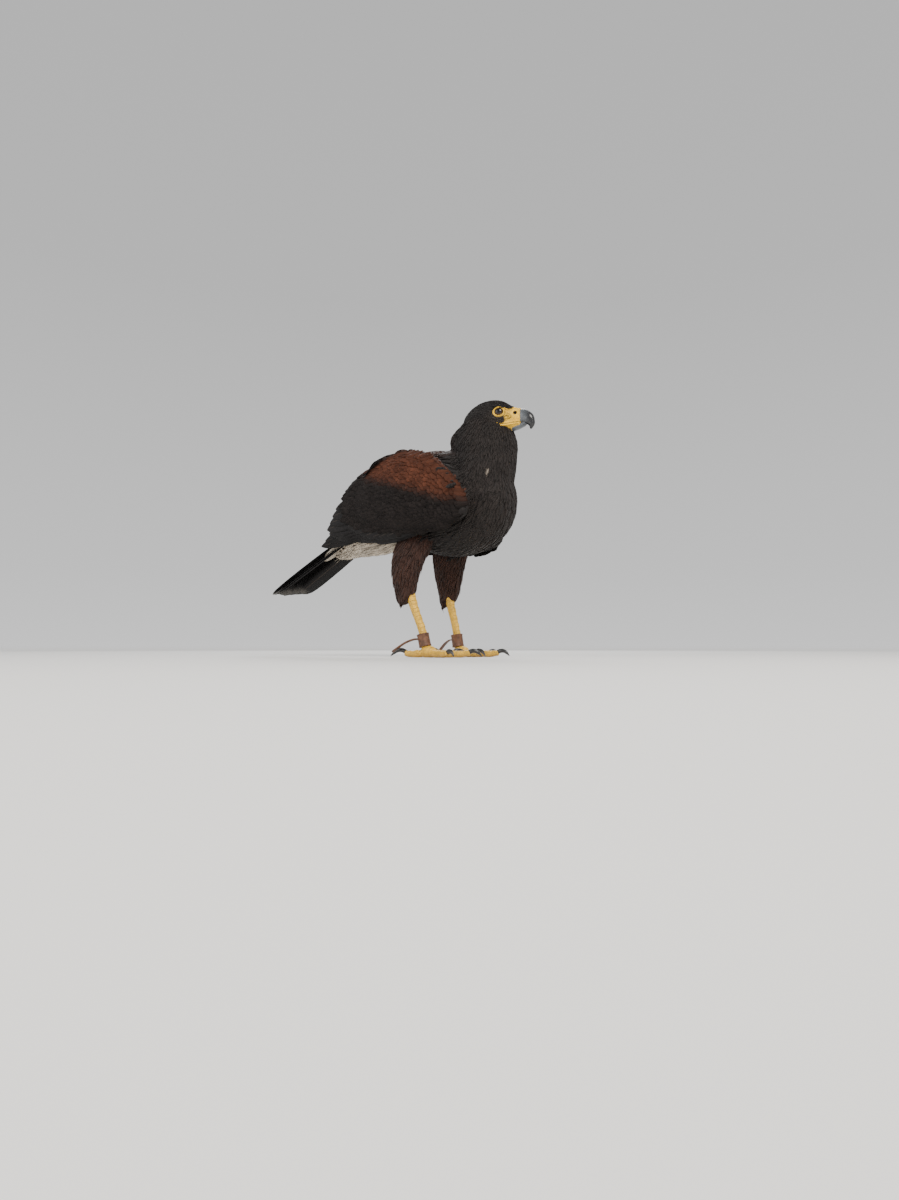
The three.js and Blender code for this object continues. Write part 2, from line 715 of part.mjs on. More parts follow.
function clawRod(leg, toe, grow = 0) {
  const at = alongToe(leg, toe);
  const from = 8 + toe.length;
  const reach = toe.claw * 0.8;
  const rise = toe.claw * 0.2;
  const line = [
    at(from - 4, 5),
    at(from + reach * 0.18, 5.6 + rise * 0.6),
    at(from + reach * 0.52, 5.4 + rise * 0.5),
    at(from + reach * 0.8, 4.4),
    at(from + reach, 1.1),
  ];
  const radii = [[0, 2.6], [0.3, 2.5], [0.6, 1.8], [0.85, 0.9], [1, 0.25]];
  return rod(line, radii, { sides: 6, rows: 7, grow, flat: 1.15 });
}

// A soft leather band round the lower leg with a short strap from the back of it
const ankletHeight = 20;
function ankletRing(leg, grow = 0) {
  const { foot, hock } = leg;
  const low = [foot[0] - 4, padHeight + 2];
  const high = [hock[0] + (foot[0] - hock[0]) * 0.66, hock[2] * 0.38];
  const lean = (high[0] - low[0]) / (high[1] - low[1]);
  const centre = vec(low[0] + lean * (ankletHeight - low[1]), foot[1], ankletHeight);
  const profile = [
    [4, -7.5], [6.6, -7.8], [7.3, -6.6], [7.1, 0], [7.3, 6.6], [6.6, 7.8], [4, 7.5],
  ].map(([r, z]) => new THREE.Vector2(r + (r > 5 ? grow : -grow), z * (1 + grow / 8)));
  profile.push(profile[0].clone());
  const ring = new THREE.LatheGeometry(profile, 14);
  ring.rotateX(Math.PI / 2);
  ring.rotateY(Math.atan(lean));
  ring.translate(centre.x, centre.y, centre.z);
  return { ring: solid(ring), centre };
}
function strap(leg, centre) {
  const { side } = leg;
  const line = [
    vec(centre.x - 5, centre.y, centre.z + 1),
    vec(centre.x - 12, centre.y + side * 3, centre.z + 1),
    vec(centre.x - 21, centre.y + side * 8, centre.z - 3),
    vec(centre.x - 29, centre.y + side * 12, centre.z - 9),
    vec(centre.x - 35, centre.y + side * 15, centre.z - 14),
  ];
  const curve = smooth(line);
  return vane({
    place: (share) => curve.getPoint(share),
    outward: () => vec(-0.6, 0, 1),
    halfWidth: 3.2,
    thick: 1.4,
    plain: true,
  });
}

// Head
const cereGrown = cereBody(gap);
const upperGrown = upperBill(gap);
const lowerGrown = lowerBill(gap);
for (const side of [-1, 1]) {
  const [x, y, z] = eye.at;
  add(side < 0 ? "eye_right" : "eye_left", ball(x, side * y, z, eye.radius), "iris");
}
const eyeRooms = [-1, 1].map((side) => ball(eye.at[0], side * eye.at[1], eye.at[2], eye.radius + gap));
const headForms = join([skull(), brow(-1), brow(1), lid(-1, true), lid(-1, false), lid(1, true), lid(1, false)]);
const cereForms = join([cereBody(), gape(-1), gape(1)]);
const cereRoom = join([cereGrown, gape(-1), gape(1)]);
const headRooms = join([...eyeRooms, cereRoom, upperGrown, lowerGrown]);
add("head", whole(headForms.subtract(headRooms), 0.12), "dark");
const cereCuts = join([nostril(-1), nostril(1), lowerGrown, upperGrown.subtract(cereBody())]);
add("cere", whole(cereForms.subtract(cereCuts)), "yellow");
add("bill_upper", whole(upperBill().subtract(join([cereGrown, lowerGrown]))), "horn");
add("bill_lower", whole(lowerBill().subtract(cereForms.subtract(cereBody()))), "horn");

// Neck, torso and rump, each cut clear of the piece before it
add("neck", whole(neck().subtract(join([skull(gap), cereRoom, lowerGrown]))), "dark");
const torsoGrown = torso(gap);
const neckGrown = neck(gap);
add("torso", whole(torso().subtract(neckGrown)), "dark");
const tailRoomShape = tailRoom();
const rumpShape = whole(join([rumpCore(), ...rumpVanes()]).subtract(join([torsoGrown, tailRoomShape])), 0.16);
add("rump", rumpShape, "white");
const tailShape = whole(join([tailRoot(), ...Array.from({ length: tail.count }, (_, k) => tailFeather(k))]));
add("tail", whole(tailShape.subtract(torsoGrown)), "flight");

// Wings
const wingRooms = {};
for (const side of [-1, 1]) {
  const bodies = join([torsoGrown, neckGrown]);
  const flight = [...secondaries(side), ...primaries(side), ...alula(side)];
  const covering = [shield(side), hand(side), ...greaterCoverts(side), ...scapulars(side)];
  const shape = whole(join([...covering, ...flight]).subtract(bodies), 0.2);
  add(side < 0 ? "wing_right" : "wing_left", shape, "chestnut");
  const room = shape.trimByPlane([1, 0, 0], -95).trimByPlane([-1, 0, 0], -45).trimByPlane([0, 0, -1], -172).hull();
  wingRooms[side] = join([room, room.translate(0, -side * gap * 2, 0), room.translate(0, 0, -gap * 2)]);
}

// Legs
for (const [name, leg] of Object.entries(legs)) {
  const { ring, centre } = ankletRing(leg);
  const ringGrown = ankletRing(leg, gap).ring;
  const thighCuts = join([torsoGrown, tarsus(leg, gap), wingRooms[leg.side]]);
  add(`thigh_${name}`, whole(join([thigh(leg), ...thighLocks(leg)]).subtract(thighCuts)), "chestnut");
  const footShape = join([pad(leg), ...toes.map((toe) => toeRod(leg, toe))]);
  const claws = toes.map((toe) => clawRod(leg, toe));
  const clawRooms = toes.map((toe) => clawRod(leg, toe, gap));
  const footCut = whole(footShape.subtract(join([tarsus(leg, gap), ringGrown, ...clawRooms])), 0.16);
  add(`foot_${name}`, footCut, "yellow");
  add(`tarsus_${name}`, whole(tarsus(leg).subtract(ringGrown)), "yellow");
  toes.forEach((toe, i) => add(`claw_${toe.name}_${name}`, above(claws[i], 0.4), "claw"));
  add(`anklet_${name}`, whole(join([ring, strap(leg, centre)])), "leather");
}

// The origin goes under the middle of the bird's box
const box = new THREE.Box3().setFromObject(group);
const middle = box.getCenter(vec(0, 0, 0));
group.children.forEach((piece) => piece.geometry.translate(-middle.x, -middle.y, -box.min.z));

export default group;
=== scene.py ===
import itertools
import math

import bmesh
import bpy
import numpy as np
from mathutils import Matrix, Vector
from mathutils.bvhtree import BVHTree
from mathutils.geometry import barycentric_transform


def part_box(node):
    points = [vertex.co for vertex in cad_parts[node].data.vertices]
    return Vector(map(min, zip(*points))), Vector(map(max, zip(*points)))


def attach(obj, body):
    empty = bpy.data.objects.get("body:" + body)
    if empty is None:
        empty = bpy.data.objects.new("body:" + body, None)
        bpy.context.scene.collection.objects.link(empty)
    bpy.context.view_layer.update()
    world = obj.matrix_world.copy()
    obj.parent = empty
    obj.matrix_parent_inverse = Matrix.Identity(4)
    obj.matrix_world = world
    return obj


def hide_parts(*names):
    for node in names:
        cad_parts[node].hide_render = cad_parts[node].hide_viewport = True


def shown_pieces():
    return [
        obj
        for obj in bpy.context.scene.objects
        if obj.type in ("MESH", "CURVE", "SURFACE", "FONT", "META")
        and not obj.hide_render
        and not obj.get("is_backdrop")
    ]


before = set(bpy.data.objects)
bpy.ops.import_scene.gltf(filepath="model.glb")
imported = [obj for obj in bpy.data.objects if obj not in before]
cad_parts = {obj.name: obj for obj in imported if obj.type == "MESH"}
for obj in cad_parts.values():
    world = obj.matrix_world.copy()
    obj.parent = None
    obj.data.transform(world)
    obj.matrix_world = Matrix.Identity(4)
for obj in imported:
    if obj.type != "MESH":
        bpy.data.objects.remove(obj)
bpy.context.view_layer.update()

# Sizes are in millimetres in the bird's own frame: +X forward, +Y its left, floor at 0,
# with the feet near the origin. The frame's eyes say where that is in the CAD frame.
eye = {"at": (79.5, 13.4, 282.0), "radius": 7.2}
eyeMiddles = [(low + high) / 2 for low, high in (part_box("eye_right"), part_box("eye_left"))]
birdShift = np.array([
    eyeMiddles[0].x * 1000 - eye["at"][0],
    (eyeMiddles[0].y + eyeMiddles[1].y) * 500,
    0.0,
])
birdSides = {"right": -1, "left": 1}
rng = np.random.default_rng(7)


def toFrame(points):
    return (np.asarray(points, float) + birdShift) / 1000


def unit(vectors):
    vectors = np.asarray(vectors, float)
    return vectors / np.maximum(np.linalg.norm(vectors, axis=-1, keepdims=True), 1e-9)


def ease(low, high, value):
    share = np.clip((np.asarray(value, float) - low) / (high - low), 0, 1)
    return share * share * (3 - 2 * share)


# A smooth curve through evenly counted points, read from 0 to 1
def curvePoints(points, shares, closed=False):
    points = np.asarray(points, float)
    shares = np.asarray(shares, float)
    if closed:
        ring = np.vstack([points[-1:], points, points[:2]])
        place = (shares % 1) * len(points)
        cell = np.minimum(place.astype(int), len(points) - 1)
    else:
        ring = np.vstack([2 * points[0] - points[1], points, 2 * points[-1] - points[-2]])
        place = np.clip(shares, 0, 1) * (len(points) - 1)
        cell = np.minimum(place.astype(int), len(points) - 2)
    part = (place - cell)[..., None]
    a, b, c, d = (ring[cell + k] for k in range(4))
    return 0.5 * (2 * b + (c - a) * part + (2 * a - 5 * b + 4 * c - d) * part**2
                  + (3 * b - a - 3 * c + d) * part**3)


# A number that runs smoothly through pairs of place and value
def graph(pairs):
    at, value = np.array(pairs, float).T

    def read(place):
        place = np.clip(place, at[0], at[-1])
        cell = np.clip(np.searchsorted(at, place, side="right") - 1, 0, len(at) - 2)
        share = (place - at[cell]) / (at[cell + 1] - at[cell])
        eased = 0.5 * share + 0.5 * share * share * (3 - 2 * share)
        return value[cell] + (value[cell + 1] - value[cell]) * eased

    return read


# A new ball in a bmesh, as its vertices with their share along it and angle round it
def addBall(bm, sides, rows):
    verts = bmesh.ops.create_uvsphere(bm, u_segments=sides, v_segments=rows, radius=1)["verts"]
    ball = np.array([v.co for v in verts])
    share = 1 - np.arccos(np.clip(ball[:, 2], -1, 1)) / math.pi
    angle = np.arctan2(ball[:, 1], ball[:, 0]) % (2 * math.pi)
    return verts, share, angle, np.hypot(ball[:, 0], ball[:, 1]) < 1e-5


def placeVerts(verts, points):
    for vert, point in zip(verts, points):
        vert.co = point


# A rounded body along stations of (place, half width, height above, height below)
def addBody(bm, stations, across=(0, 1, 0), up=(0, 0, 1), grow=0.0, sides=40, rows=40):
    verts, share, angle, pole = addBall(bm, sides, rows)
    centre = curvePoints([s[0] for s in stations], share)
    size = curvePoints([(s[1], s[2], s[-1]) for s in stations], share)
    wide = np.where(pole, 0, size[:, 0] + grow)
    tall = np.where(pole, 0, np.where(np.sin(angle) > 0, size[:, 1], size[:, 2]) + grow)
    points = (centre + np.outer(np.cos(angle) * wide, across) + np.outer(np.sin(angle) * tall, up))
    placeVerts(verts, points)


# A rod along a curve, with rounded ends, whose surface may be raised by scale(share, angle)
def addRod(bm, line, radii, flat=1.0, sides=20, rows=30, scale=None):
    verts, share, angle, pole = addBall(bm, sides, rows)
    centre = curvePoints(line, share)
    ahead = unit(curvePoints(line, share + 0.01) - curvePoints(line, share - 0.01))
    across = unit(np.array([0, 1, 0]) - ahead * ahead[:, 1:2])
    up = np.cross(ahead, across)
    size = graph(radii)(share) * (1 if scale is None else scale(share, angle))
    size = np.where(pole, 0, size)[:, None]
    points = centre + across * np.cos(angle)[:, None] * size + up * np.sin(angle)[:, None] * size * flat
    placeVerts(verts, points)


# Blender makes a ball's faces in no fixed order, so they are sorted by their points
def sortFaces(bm):
    bm.verts.index_update()
    bm.faces.sort(key=lambda face: face.verts[0].index * 1e6 + face.verts[1].index)


def finishMesh(name, bm, smooth=True):
    sortFaces(bm)
    bm.normal_update()
    bmesh.ops.recalc_face_normals(bm, faces=bm.faces)
    for vert in bm.verts:
        vert.co = (vert.co + Vector(birdShift)) / 1000
    mesh = bpy.data.meshes.new(name)
    bm.to_mesh(mesh)
    bm.free()
    mesh.polygons.foreach_set("use_smooth", [smooth] * len(mesh.polygons))
    made = bpy.data.objects.new(name, mesh)
    bpy.context.scene.collection.objects.link(made)
    return made


# What each finished piece gets: its material, a parent at the root, and the CAD nodes it stands for, which
# are hidden
def dress(made, material=None, nodes=()):
    if material:
        made.data.materials.append(material)
    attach(made, "root")
    if nodes:
        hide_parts(*nodes)


# Melts the closed shapes of an object into one skin, and smooths it
def fuse(made, voxel, rounds):
    remesh = made.modifiers.new("fuse", "REMESH")
    remesh.mode = "VOXEL"
    remesh.voxel_size = voxel / 1000
    remesh.use_smooth_shade = True
    soften = made.modifiers.new("soften", "SMOOTH")
    soften.iterations = rounds
    applyModifiers(made)
    return made


def applyModifiers(made):
    view = bpy.context.evaluated_depsgraph_get()
    applied = bpy.data.meshes.new_from_object(made.evaluated_get(view))
    made.modifiers.clear()
    made.data = applied
    applied.name = made.name


def meshPoints(mesh):
    flat = np.zeros(len(mesh.vertices) * 3)
    mesh.vertices.foreach_get("co", flat)
    return flat.reshape(-1, 3)


def addColours(mesh, colours):
    layer = mesh.color_attributes.new("plume", "FLOAT_COLOR", "POINT")
    rgba = np.ones((len(colours), 4))
    rgba[:, :3] = colours
    layer.data.foreach_set("color", rgba.ravel())


# The bird's main forms, the same as in the CAD solids
torsoStations = [
    ((92, 0, 184), 0, 0), ((87, 0, 183), 20, 27), ((72, 0, 182), 33, 46), ((48, 0, 181), 39, 58),
    ((14, 0, 181), 40, 62), ((-20, 0, 185), 39, 58), ((-46, 0, 190), 34, 47), ((-68, 0, 192), 26, 34),
    ((-84, 0, 191), 15, 20), ((-94, 0, 190), 0, 0),
]
mantleStations = [
    ((46, 0, 224), 0, 0), ((40, 0, 224), 20, 18), ((18, 0, 223), 36, 26), ((-12, 0, 222), 39, 30),
    ((-42, 0, 217), 38, 29), ((-68, 0, 208), 33, 25), ((-90, 0, 197), 23, 17), ((-102, 0, 190), 0, 0),
]
neckStations = [
    ((46, 0, 158), 0, 0), ((46, 0, 172), 32, 30), ((46, 0, 192), 39, 39.5), ((52, 0, 214), 36, 40),
    ((56, 0, 233), 31.5, 39), ((54, 0, 248), 29.5, 42.5), ((51, 0, 261), 27.5, 42), ((55, 0, 274), 24.5, 33),
    ((59, 0, 286), 18, 20), ((61, 0, 293), 0, 0),
]
skullStations = [
    ((27, 0, 276), 0, 0), ((32, 0, 276.5), 11, 11), ((42, 0, 278), 18.5, 18), ((55, 0, 279.5), 23, 21.8),
    ((68, 0, 280), 23.4, 22.2), ((79, 0, 279.3), 20.4, 20.6), ((88, 0, 277.5), 14.8, 16.6),
    ((95, 0, 276.5), 9.5, 12), ((99, 0, 276), 0, 0),
]
rumpStations = [
    ((-50, 0, 178), 0, 0), ((-56, 0, 176), 27, 38), ((-80, 0, 164), 28, 34), ((-105, 0, 154), 26, 26),
    ((-130, 0, 147), 21, 19.5), ((-153, 0, 138), 15, 12.5), ((-166, 0, 130), 0, 0),
]
legs = {
    "right": {"side": -1, "foot": (-4, -31), "hock": (-31, -33, 84), "thigh": -33, "turn": 18},
    "left": {"side": 1, "foot": (7, 30), "hock": (-15, 32, 87), "thigh": -12, "turn": 5},
}


def thighStations(leg):
    side, x = leg["side"], leg["thigh"]
    return [
        ((x + 13, side * 20, 160), 0, 0), ((x + 12, side * 21, 152), 12, 20),
        ((x + 7, side * 26, 136), 16, 26), ((x + 1, side * 32, 114), 16, 22),
        ((x - 1, side * 35, 93), 12.5, 18), ((x - 1, side * 34.5, 77), 9.5, 14.5),
        ((x - 4, side * 34, 66), 6, 9.5), ((x - 10, side * 33.5, 60), 0, 0),
    ]


# The flank fills the room between the breast and the folded wing
def flankStations(side):
    return [
        ((56, side * 34, 184), 0, 0), ((48, side * 37, 186), 8, 22), ((28, side * 42, 191), 12, 33),
        ((-10, side * 43, 196), 14, 35), ((-50, side * 37, 198), 12, 28), ((-78, side * 29, 198), 0, 0),
    ]


# The folded wing's outer surface, by its distance from the middle plane at (x, z)
wingReach = graph([(-210, 40), (-160, 42), (-130, 45.5), (-100, 50.5), (-70, 57), (-30, 62), (10, 62),
                   (40, 57), (60, 48), (72, 38)])
wingMiddle = graph([(-205, 131), (-160, 156), (-130, 168), (-90, 182), (-40, 188), (10, 187), (70, 176)])
wingTall = graph([(-205, 40), (-160, 56), (-120, 66), (-60, 72), (20, 72), (70, 60)])
wingDrop = graph([(-130, 0), (-60, 5), (20, 18), (70, 22)])  # the left wing hangs a little at its bend


def wingOut(x, z):
    rise = (z - wingMiddle(x)) / wingTall(x)
    return wingReach(x) * np.sqrt(np.maximum(0.12, 1 - rise * rise))


def onWing(side, x, z, lift):
    step = 2.0
    alongX = (wingOut(x + step, z) - wingOut(x - step, z)) / (2 * step)
    alongZ = (wingOut(x, z + step) - wingOut(x, z - step)) / (2 * step)
    out = unit(np.stack([-alongX, np.full_like(alongX, side), -alongZ], -1))
    point = np.stack([x, side * wingOut(x, z), z], -1) + out * np.asarray(lift)[..., None]
    if side > 0:
        point[..., 2] -= wingDrop(x)
    return point, out


shieldEdge = [(60, 168), (52, 190), (32, 216), (6, 239), (-26, 249), (-58, 240), (-86, 223), (-104, 200),
              (-102, 176), (-78, 160), (-38, 151), (4, 147), (40, 150)]
shield = {"middle": np.array([-18, 192]), "depth": 20.0, "bulge": 1.6}


def addShield(bm, side, grow):
    verts, share, angle, _ = addBall(bm, 48, 24)
    rim = curvePoints(shieldEdge, angle / (2 * math.pi), closed=True)
    spread = np.sin(share * math.pi) * (1 + grow / 60)
    depth = -np.cos(share * math.pi)
    flat = shield["middle"] + (rim - shield["middle"]) * spread[:, None]
    lift = np.where(depth > 0, depth * (shield["bulge"] + grow), depth * (shield["depth"] + grow))
    placeVerts(verts, onWing(side, flat[:, 0], flat[:, 1], lift)[0])


handLine = [(58, 168), (46, 162), (26, 155), (2, 151), (-16, 150)]


def addHand(bm, side):
    line = [onWing(side, np.array([x]), np.array([z]), np.array([-4 - 1.2 * i]))[0][0]
            for i, (x, z) in enumerate(handLine)]
    addRod(bm, line, [(0, 3), (0.15, 6.4), (0.6, 6.2), (0.9, 5), (1, 2)])


tail = {"length": 222, "slope": math.radians(28.5), "base": np.array([-74.0, 0, 192]), "count": 12,
        "rounding": 26}
tailBack = np.array([-math.cos(tail["slope"]), 0, -math.sin(tail["slope"])])
tailUp = np.array([-math.sin(tail["slope"]), 0, math.cos(tail["slope"])])


def onTail(along, across, lift):
    along, across, lift = (np.asarray(v, float)[..., None] for v in (along, across, lift))
    return tail["base"] + tailBack * along + tailUp * lift + np.array([0, 1, 0]) * across


# The markings, shared by skin and coat
plume = {
    "dark": np.array([0.0105, 0.0083, 0.0078]),
    "breast": np.array([0.0135, 0.0098, 0.0086]),
    # headSunlight: painted sunlight on the dark head feathers, not a plumage colour
    "headSunlight": np.array([0.04, 0.031, 0.026]),
    "rufous": np.array([0.064, 0.0215, 0.0115]),
    "thigh": np.array([0.036, 0.0145, 0.0092]),
    "pale": np.array([0.47, 0.415, 0.335]),
    "flight": np.array([0.0092, 0.0079, 0.0081]),
    "tailTip": np.array([0.075, 0.068, 0.06]),
    "fleck": np.array([0.26, 0.22, 0.18]),
    "yellow": np.array([0.83, 0.49, 0.045]),
}


flecks = np.array([(73, -30, 208), (37, -38, 178)])  # small pale spots on the right of the breast


def mix(a, b, share):
    share = np.asarray(share, float)[..., None]
    return a * (1 - share) + b * share


# Feather colour at points of the bird, by tract
def markings(points, tract):
    x, y, z = np.moveaxis(np.asarray(points, float), -1, 0)
    colour = np.broadcast_to(plume["dark"], points.shape).copy()
    if tract == "head":
        # Painted sunlight on the cheeks below the eye, and a painted highlight along the crown
        colour = mix(colour, plume["headSunlight"], 0.6 * ease(286, 274, z) * ease(60, 72, x) * ease(94, 84, x))
        colour = mix(colour, plume["headSunlight"], 0.5 * ease(294, 299, z) * ease(62, 80, x))
    elif tract in ("neck", "torso"):
        colour = mix(colour, plume["breast"], ease(20, 60, x))
        colour = mix(colour, plume["rufous"], 0.25 * ease(30, 0, x) * ease(228, 240, z) * ease(-100, -70, x))
        for fleck in flecks:
            away = np.linalg.norm(points - fleck, axis=-1)
            colour = mix(colour, plume["fleck"], 0.8 * ease(3.4, 1.8, away))
        colour = mix(colour, plume["pale"], ease(-54, -66, x) * ease(172, 158, z))
    elif tract == "shield":
        line = 178 + np.maximum(0, 30 - x) * 0.34
        colour = mix(colour, plume["rufous"], ease(-7, 11, z - line) * ease(-108, -70, x))
        stripe = ease(38, 50, x) * ease(148, 153, z) * ease(168, 161, z) * (y > 0)
        colour = mix(colour, plume["fleck"], 0.3 * stripe)
    elif tract == "thigh":
        colour = np.broadcast_to(plume["thigh"], points.shape).copy()
    elif tract == "rump":
        above = ((x - tail["base"][0]) * tailUp[0] + (z - tail["base"][2]) * tailUp[2])
        colour = mix(colour, plume["pale"], np.maximum(ease(-60, -72, x) * ease(2, -4, above),
                                                       ease(-92, -104, x)))
    return colour


print("forms and markings ready")

# Materials


def newMaterial(name, colour, roughness, **sockets):
    material = bpy.data.materials.new(name)
    material.use_nodes = True
    shader = material.node_tree.nodes["Principled BSDF"]
    shader.inputs["Base Color"].default_value = (*colour, 1)
    shader.inputs["Roughness"].default_value = roughness
    for socket, value in sockets.items():
        shader.inputs[socket.replace("_", " ")].default_value = value
    return material, material.node_tree, shader


def node(tree, kind, **values):
    made = tree.nodes.new("ShaderNode" + kind)
    for name, value in values.items():
        if hasattr(made, name):
            setattr(made, name, value)
        else:
            made.inputs[name.replace("_", " ")].default_value = value
    return made


def math2(tree, operation, a, b=None, c=None):
    made = node(tree, "Math", operation=operation)
    for slot, value in enumerate((a, b, c)):
        if value is None:
            continue
        if isinstance(value, (int, float)):
            made.inputs[slot].default_value = value
        else:
            tree.links.new(value, made.inputs[slot])
    return made.outputs[0]


def mixColour(tree, kind, share, a, b):
    made = node(tree, "Mix", data_type="RGBA", blend_type=kind)
    for name, value in (("Factor", share), ("A", a), ("B", b)):
        socket = next(s for s in made.inputs if s.name == name and (name == "Factor" or s.type == "RGBA"))
        if isinstance(value, (int, float)):
            socket.default_value = value
        elif isinstance(value, tuple):
            socket.default_value = (*value, 1)
        else:
            tree.links.new(value, socket)
    return next(s for s in made.outputs if s.type == "RGBA")


def axes(tree, place):
    split = node(tree, "SeparateXYZ")
    tree.links.new(place, split.inputs[0])
    return split.outputs


def ramp(tree, value, stops):
    made = node(tree, "ValToRGB")
    band = made.color_ramp
    while len(band.elements) < len(stops):
        band.elements.new(0.5)
    for element, (place, grey) in zip(band.elements, stops):
        element.position = place
        element.color = (grey, grey, grey, 1)
    tree.links.new(value, made.inputs[0])
    return made.outputs[0]


def objectNoise(tree, scale, detail=3.0, stretch=None):
    place = node(tree, "TexCoord").outputs["Object"]
    if stretch:
        mapping = node(tree, "Mapping")
        mapping.inputs["Scale"].default_value = stretch
        tree.links.new(place, mapping.inputs["Vector"])
        place = mapping.outputs[0]
    noise = node(tree, "TexNoise")
    noise.inputs["Scale"].default_value = scale
    noise.inputs["Detail"].default_value = detail
    tree.links.new(place, noise.inputs["Vector"])
    return noise.outputs["Fac"]


def addBump(tree, shader, height, strength, distance):
    bump = node(tree, "Bump")
    bump.inputs["Strength"].default_value = strength
    bump.inputs["Distance"].default_value = distance
    tree.links.new(height, bump.inputs["Height"])
    tree.links.new(bump.outputs[0], shader.inputs["Normal"])


# Feathers take their colour from the markings, with barbs slanting back from a shaft
def featherMaterial(name, barbs, roughness, shaft, gloss):
    material, tree, shader = newMaterial(name, (0.03, 0.02, 0.02), roughness, Specular_IOR_Level=gloss)
    shader.inputs["Sheen Weight"].default_value = gloss * 0.18
    shader.inputs["Sheen Roughness"].default_value = 0.5
    colour = node(tree, "Attribute", attribute_name="plume").outputs["Color"]
    place = axes(tree, node(tree, "UVMap", uv_map="vane").outputs[0])
    off = math2(tree, "ABSOLUTE", math2(tree, "SUBTRACT", place["X"], 0.5))
    slant = math2(tree, "SUBTRACT", math2(tree, "MULTIPLY", place["Y"], barbs),
                  math2(tree, "MULTIPLY", off, barbs * 0.45))
    barb = math2(tree, "SINE", math2(tree, "MULTIPLY", slant, 2 * math.pi))
    barb = math2(tree, "MULTIPLY_ADD", barb, 0.5, 0.5)
    streak = objectNoise(tree, 90.0, 4.0)
    grey = ramp(tree, streak, [(0.3, 0.72), (0.7, 1.25)])
    colour = mixColour(tree, "MULTIPLY", 1.0, colour, grey)
    barbShade = ramp(tree, barb, [(0.0, 0.8), (1.0, 1.1)])
    colour = mixColour(tree, "MULTIPLY", 0.6, colour, barbShade)
    ridge = ramp(tree, off, [(0.012, 1.0), (0.035, 0.0)])
    colour = mixColour(tree, "MIX", math2(tree, "MULTIPLY", ridge, shaft), colour, (0.05, 0.038, 0.03))
    tree.links.new(colour, shader.inputs["Base Color"])
    height = math2(tree, "ADD", math2(tree, "MULTIPLY", barb, 0.5), ridge)
    addBump(tree, shader, height, 0.35, 0.0002)
    return material


bodyFeather = featherMaterial("bodyFeather", 22.0, 0.62, 0.25, 0.22)
covertFeather = featherMaterial("covertFeather", 22.0, 0.68, 0.25, 0.09)
flightFeather = featherMaterial("flightFeather", 90.0, 0.5, 0.7, 0.15)


def skinMaterial():
    material, tree, shader = newMaterial("bareSkin", (0.7, 0.45, 0.1), 0.6, Specular_IOR_Level=0.2)
    colour = node(tree, "Attribute", attribute_name="plume").outputs["Color"]
    grey = ramp(tree, objectNoise(tree, 220.0), [(0.3, 0.78), (0.7, 1.15)])
    tree.links.new(mixColour(tree, "MULTIPLY", 1.0, colour, grey), shader.inputs["Base Color"])
    addBump(tree, shader, objectNoise(tree, 900.0, 4.0), 0.25, 0.0003)
    return material


# Yellow scaled skin, with broad plates on the fronts of shanks and the tops of toes, counted by the
# attribute, and small round scales elsewhere
def legMaterial():
    material, tree, shader = newMaterial("scaledLeg", (0.8, 0.5, 0.08), 0.42, Specular_IOR_Level=0.45)
    place = node(tree, "TexCoord").outputs["Object"]
    scales = node(tree, "TexVoronoi", feature="DISTANCE_TO_EDGE")
    scales.inputs["Scale"].default_value = 560.0
    tree.links.new(place, scales.inputs["Vector"])
    grain = ramp(tree, scales.outputs["Distance"], [(0.0, 0.0), (0.14, 1.0)])
    plates = axes(tree, node(tree, "Attribute", attribute_name="plates").outputs["Vector"])
    plateEdge = [(0.0, 0.0), (0.14, 1.0), (0.9, 0.75), (1.0, 0.0)]
    plate = ramp(tree, math2(tree, "FRACT", plates["X"]), plateEdge)
    edge = mixColour(tree, "MIX", plates["Y"], grain, plate)
    colour = node(tree, "Attribute", attribute_name="plume").outputs["Color"]
    crack = mixColour(tree, "MIX", edge, (0.3, 0.14, 0.025), colour)
    colour = mixColour(tree, "MIX", 0.7, colour, crack)
    grey = ramp(tree, objectNoise(tree, 160.0), [(0.3, 0.8), (0.7, 1.12)])
    tree.links.new(mixColour(tree, "MULTIPLY", 1.0, colour, grey), shader.inputs["Base Color"])
    addBump(tree, shader, edge, 0.6, 0.0006)
    return material


# Horn that darkens towards a point along a bird axis, from its object coordinates in metres
def hornMaterial(name, pale, dark, start, end, axis=0):
    material, tree, shader = newMaterial(name, pale, 0.28, Specular_IOR_Level=0.5, Coat_Weight=0.25)
    place = axes(tree, node(tree, "TexCoord").outputs["Object"])
    noise = objectNoise(tree, 350.0, 4.0, stretch=(0.3, 1, 1))
    along = math2(tree, "DIVIDE", math2(tree, "SUBTRACT", place[axis], start), end - start)
    along = math2(tree, "ADD", along, math2(tree, "MULTIPLY", math2(tree, "SUBTRACT", noise, 0.5), 0.25))
    share = ramp(tree, along, [(0.0, 0.0), (1.0, 1.0)])
    tree.links.new(mixColour(tree, "MIX", share, pale, dark), shader.inputs["Base Color"])
    addBump(tree, shader, noise, 0.12, 0.0002)
    return material


print("materials ready")

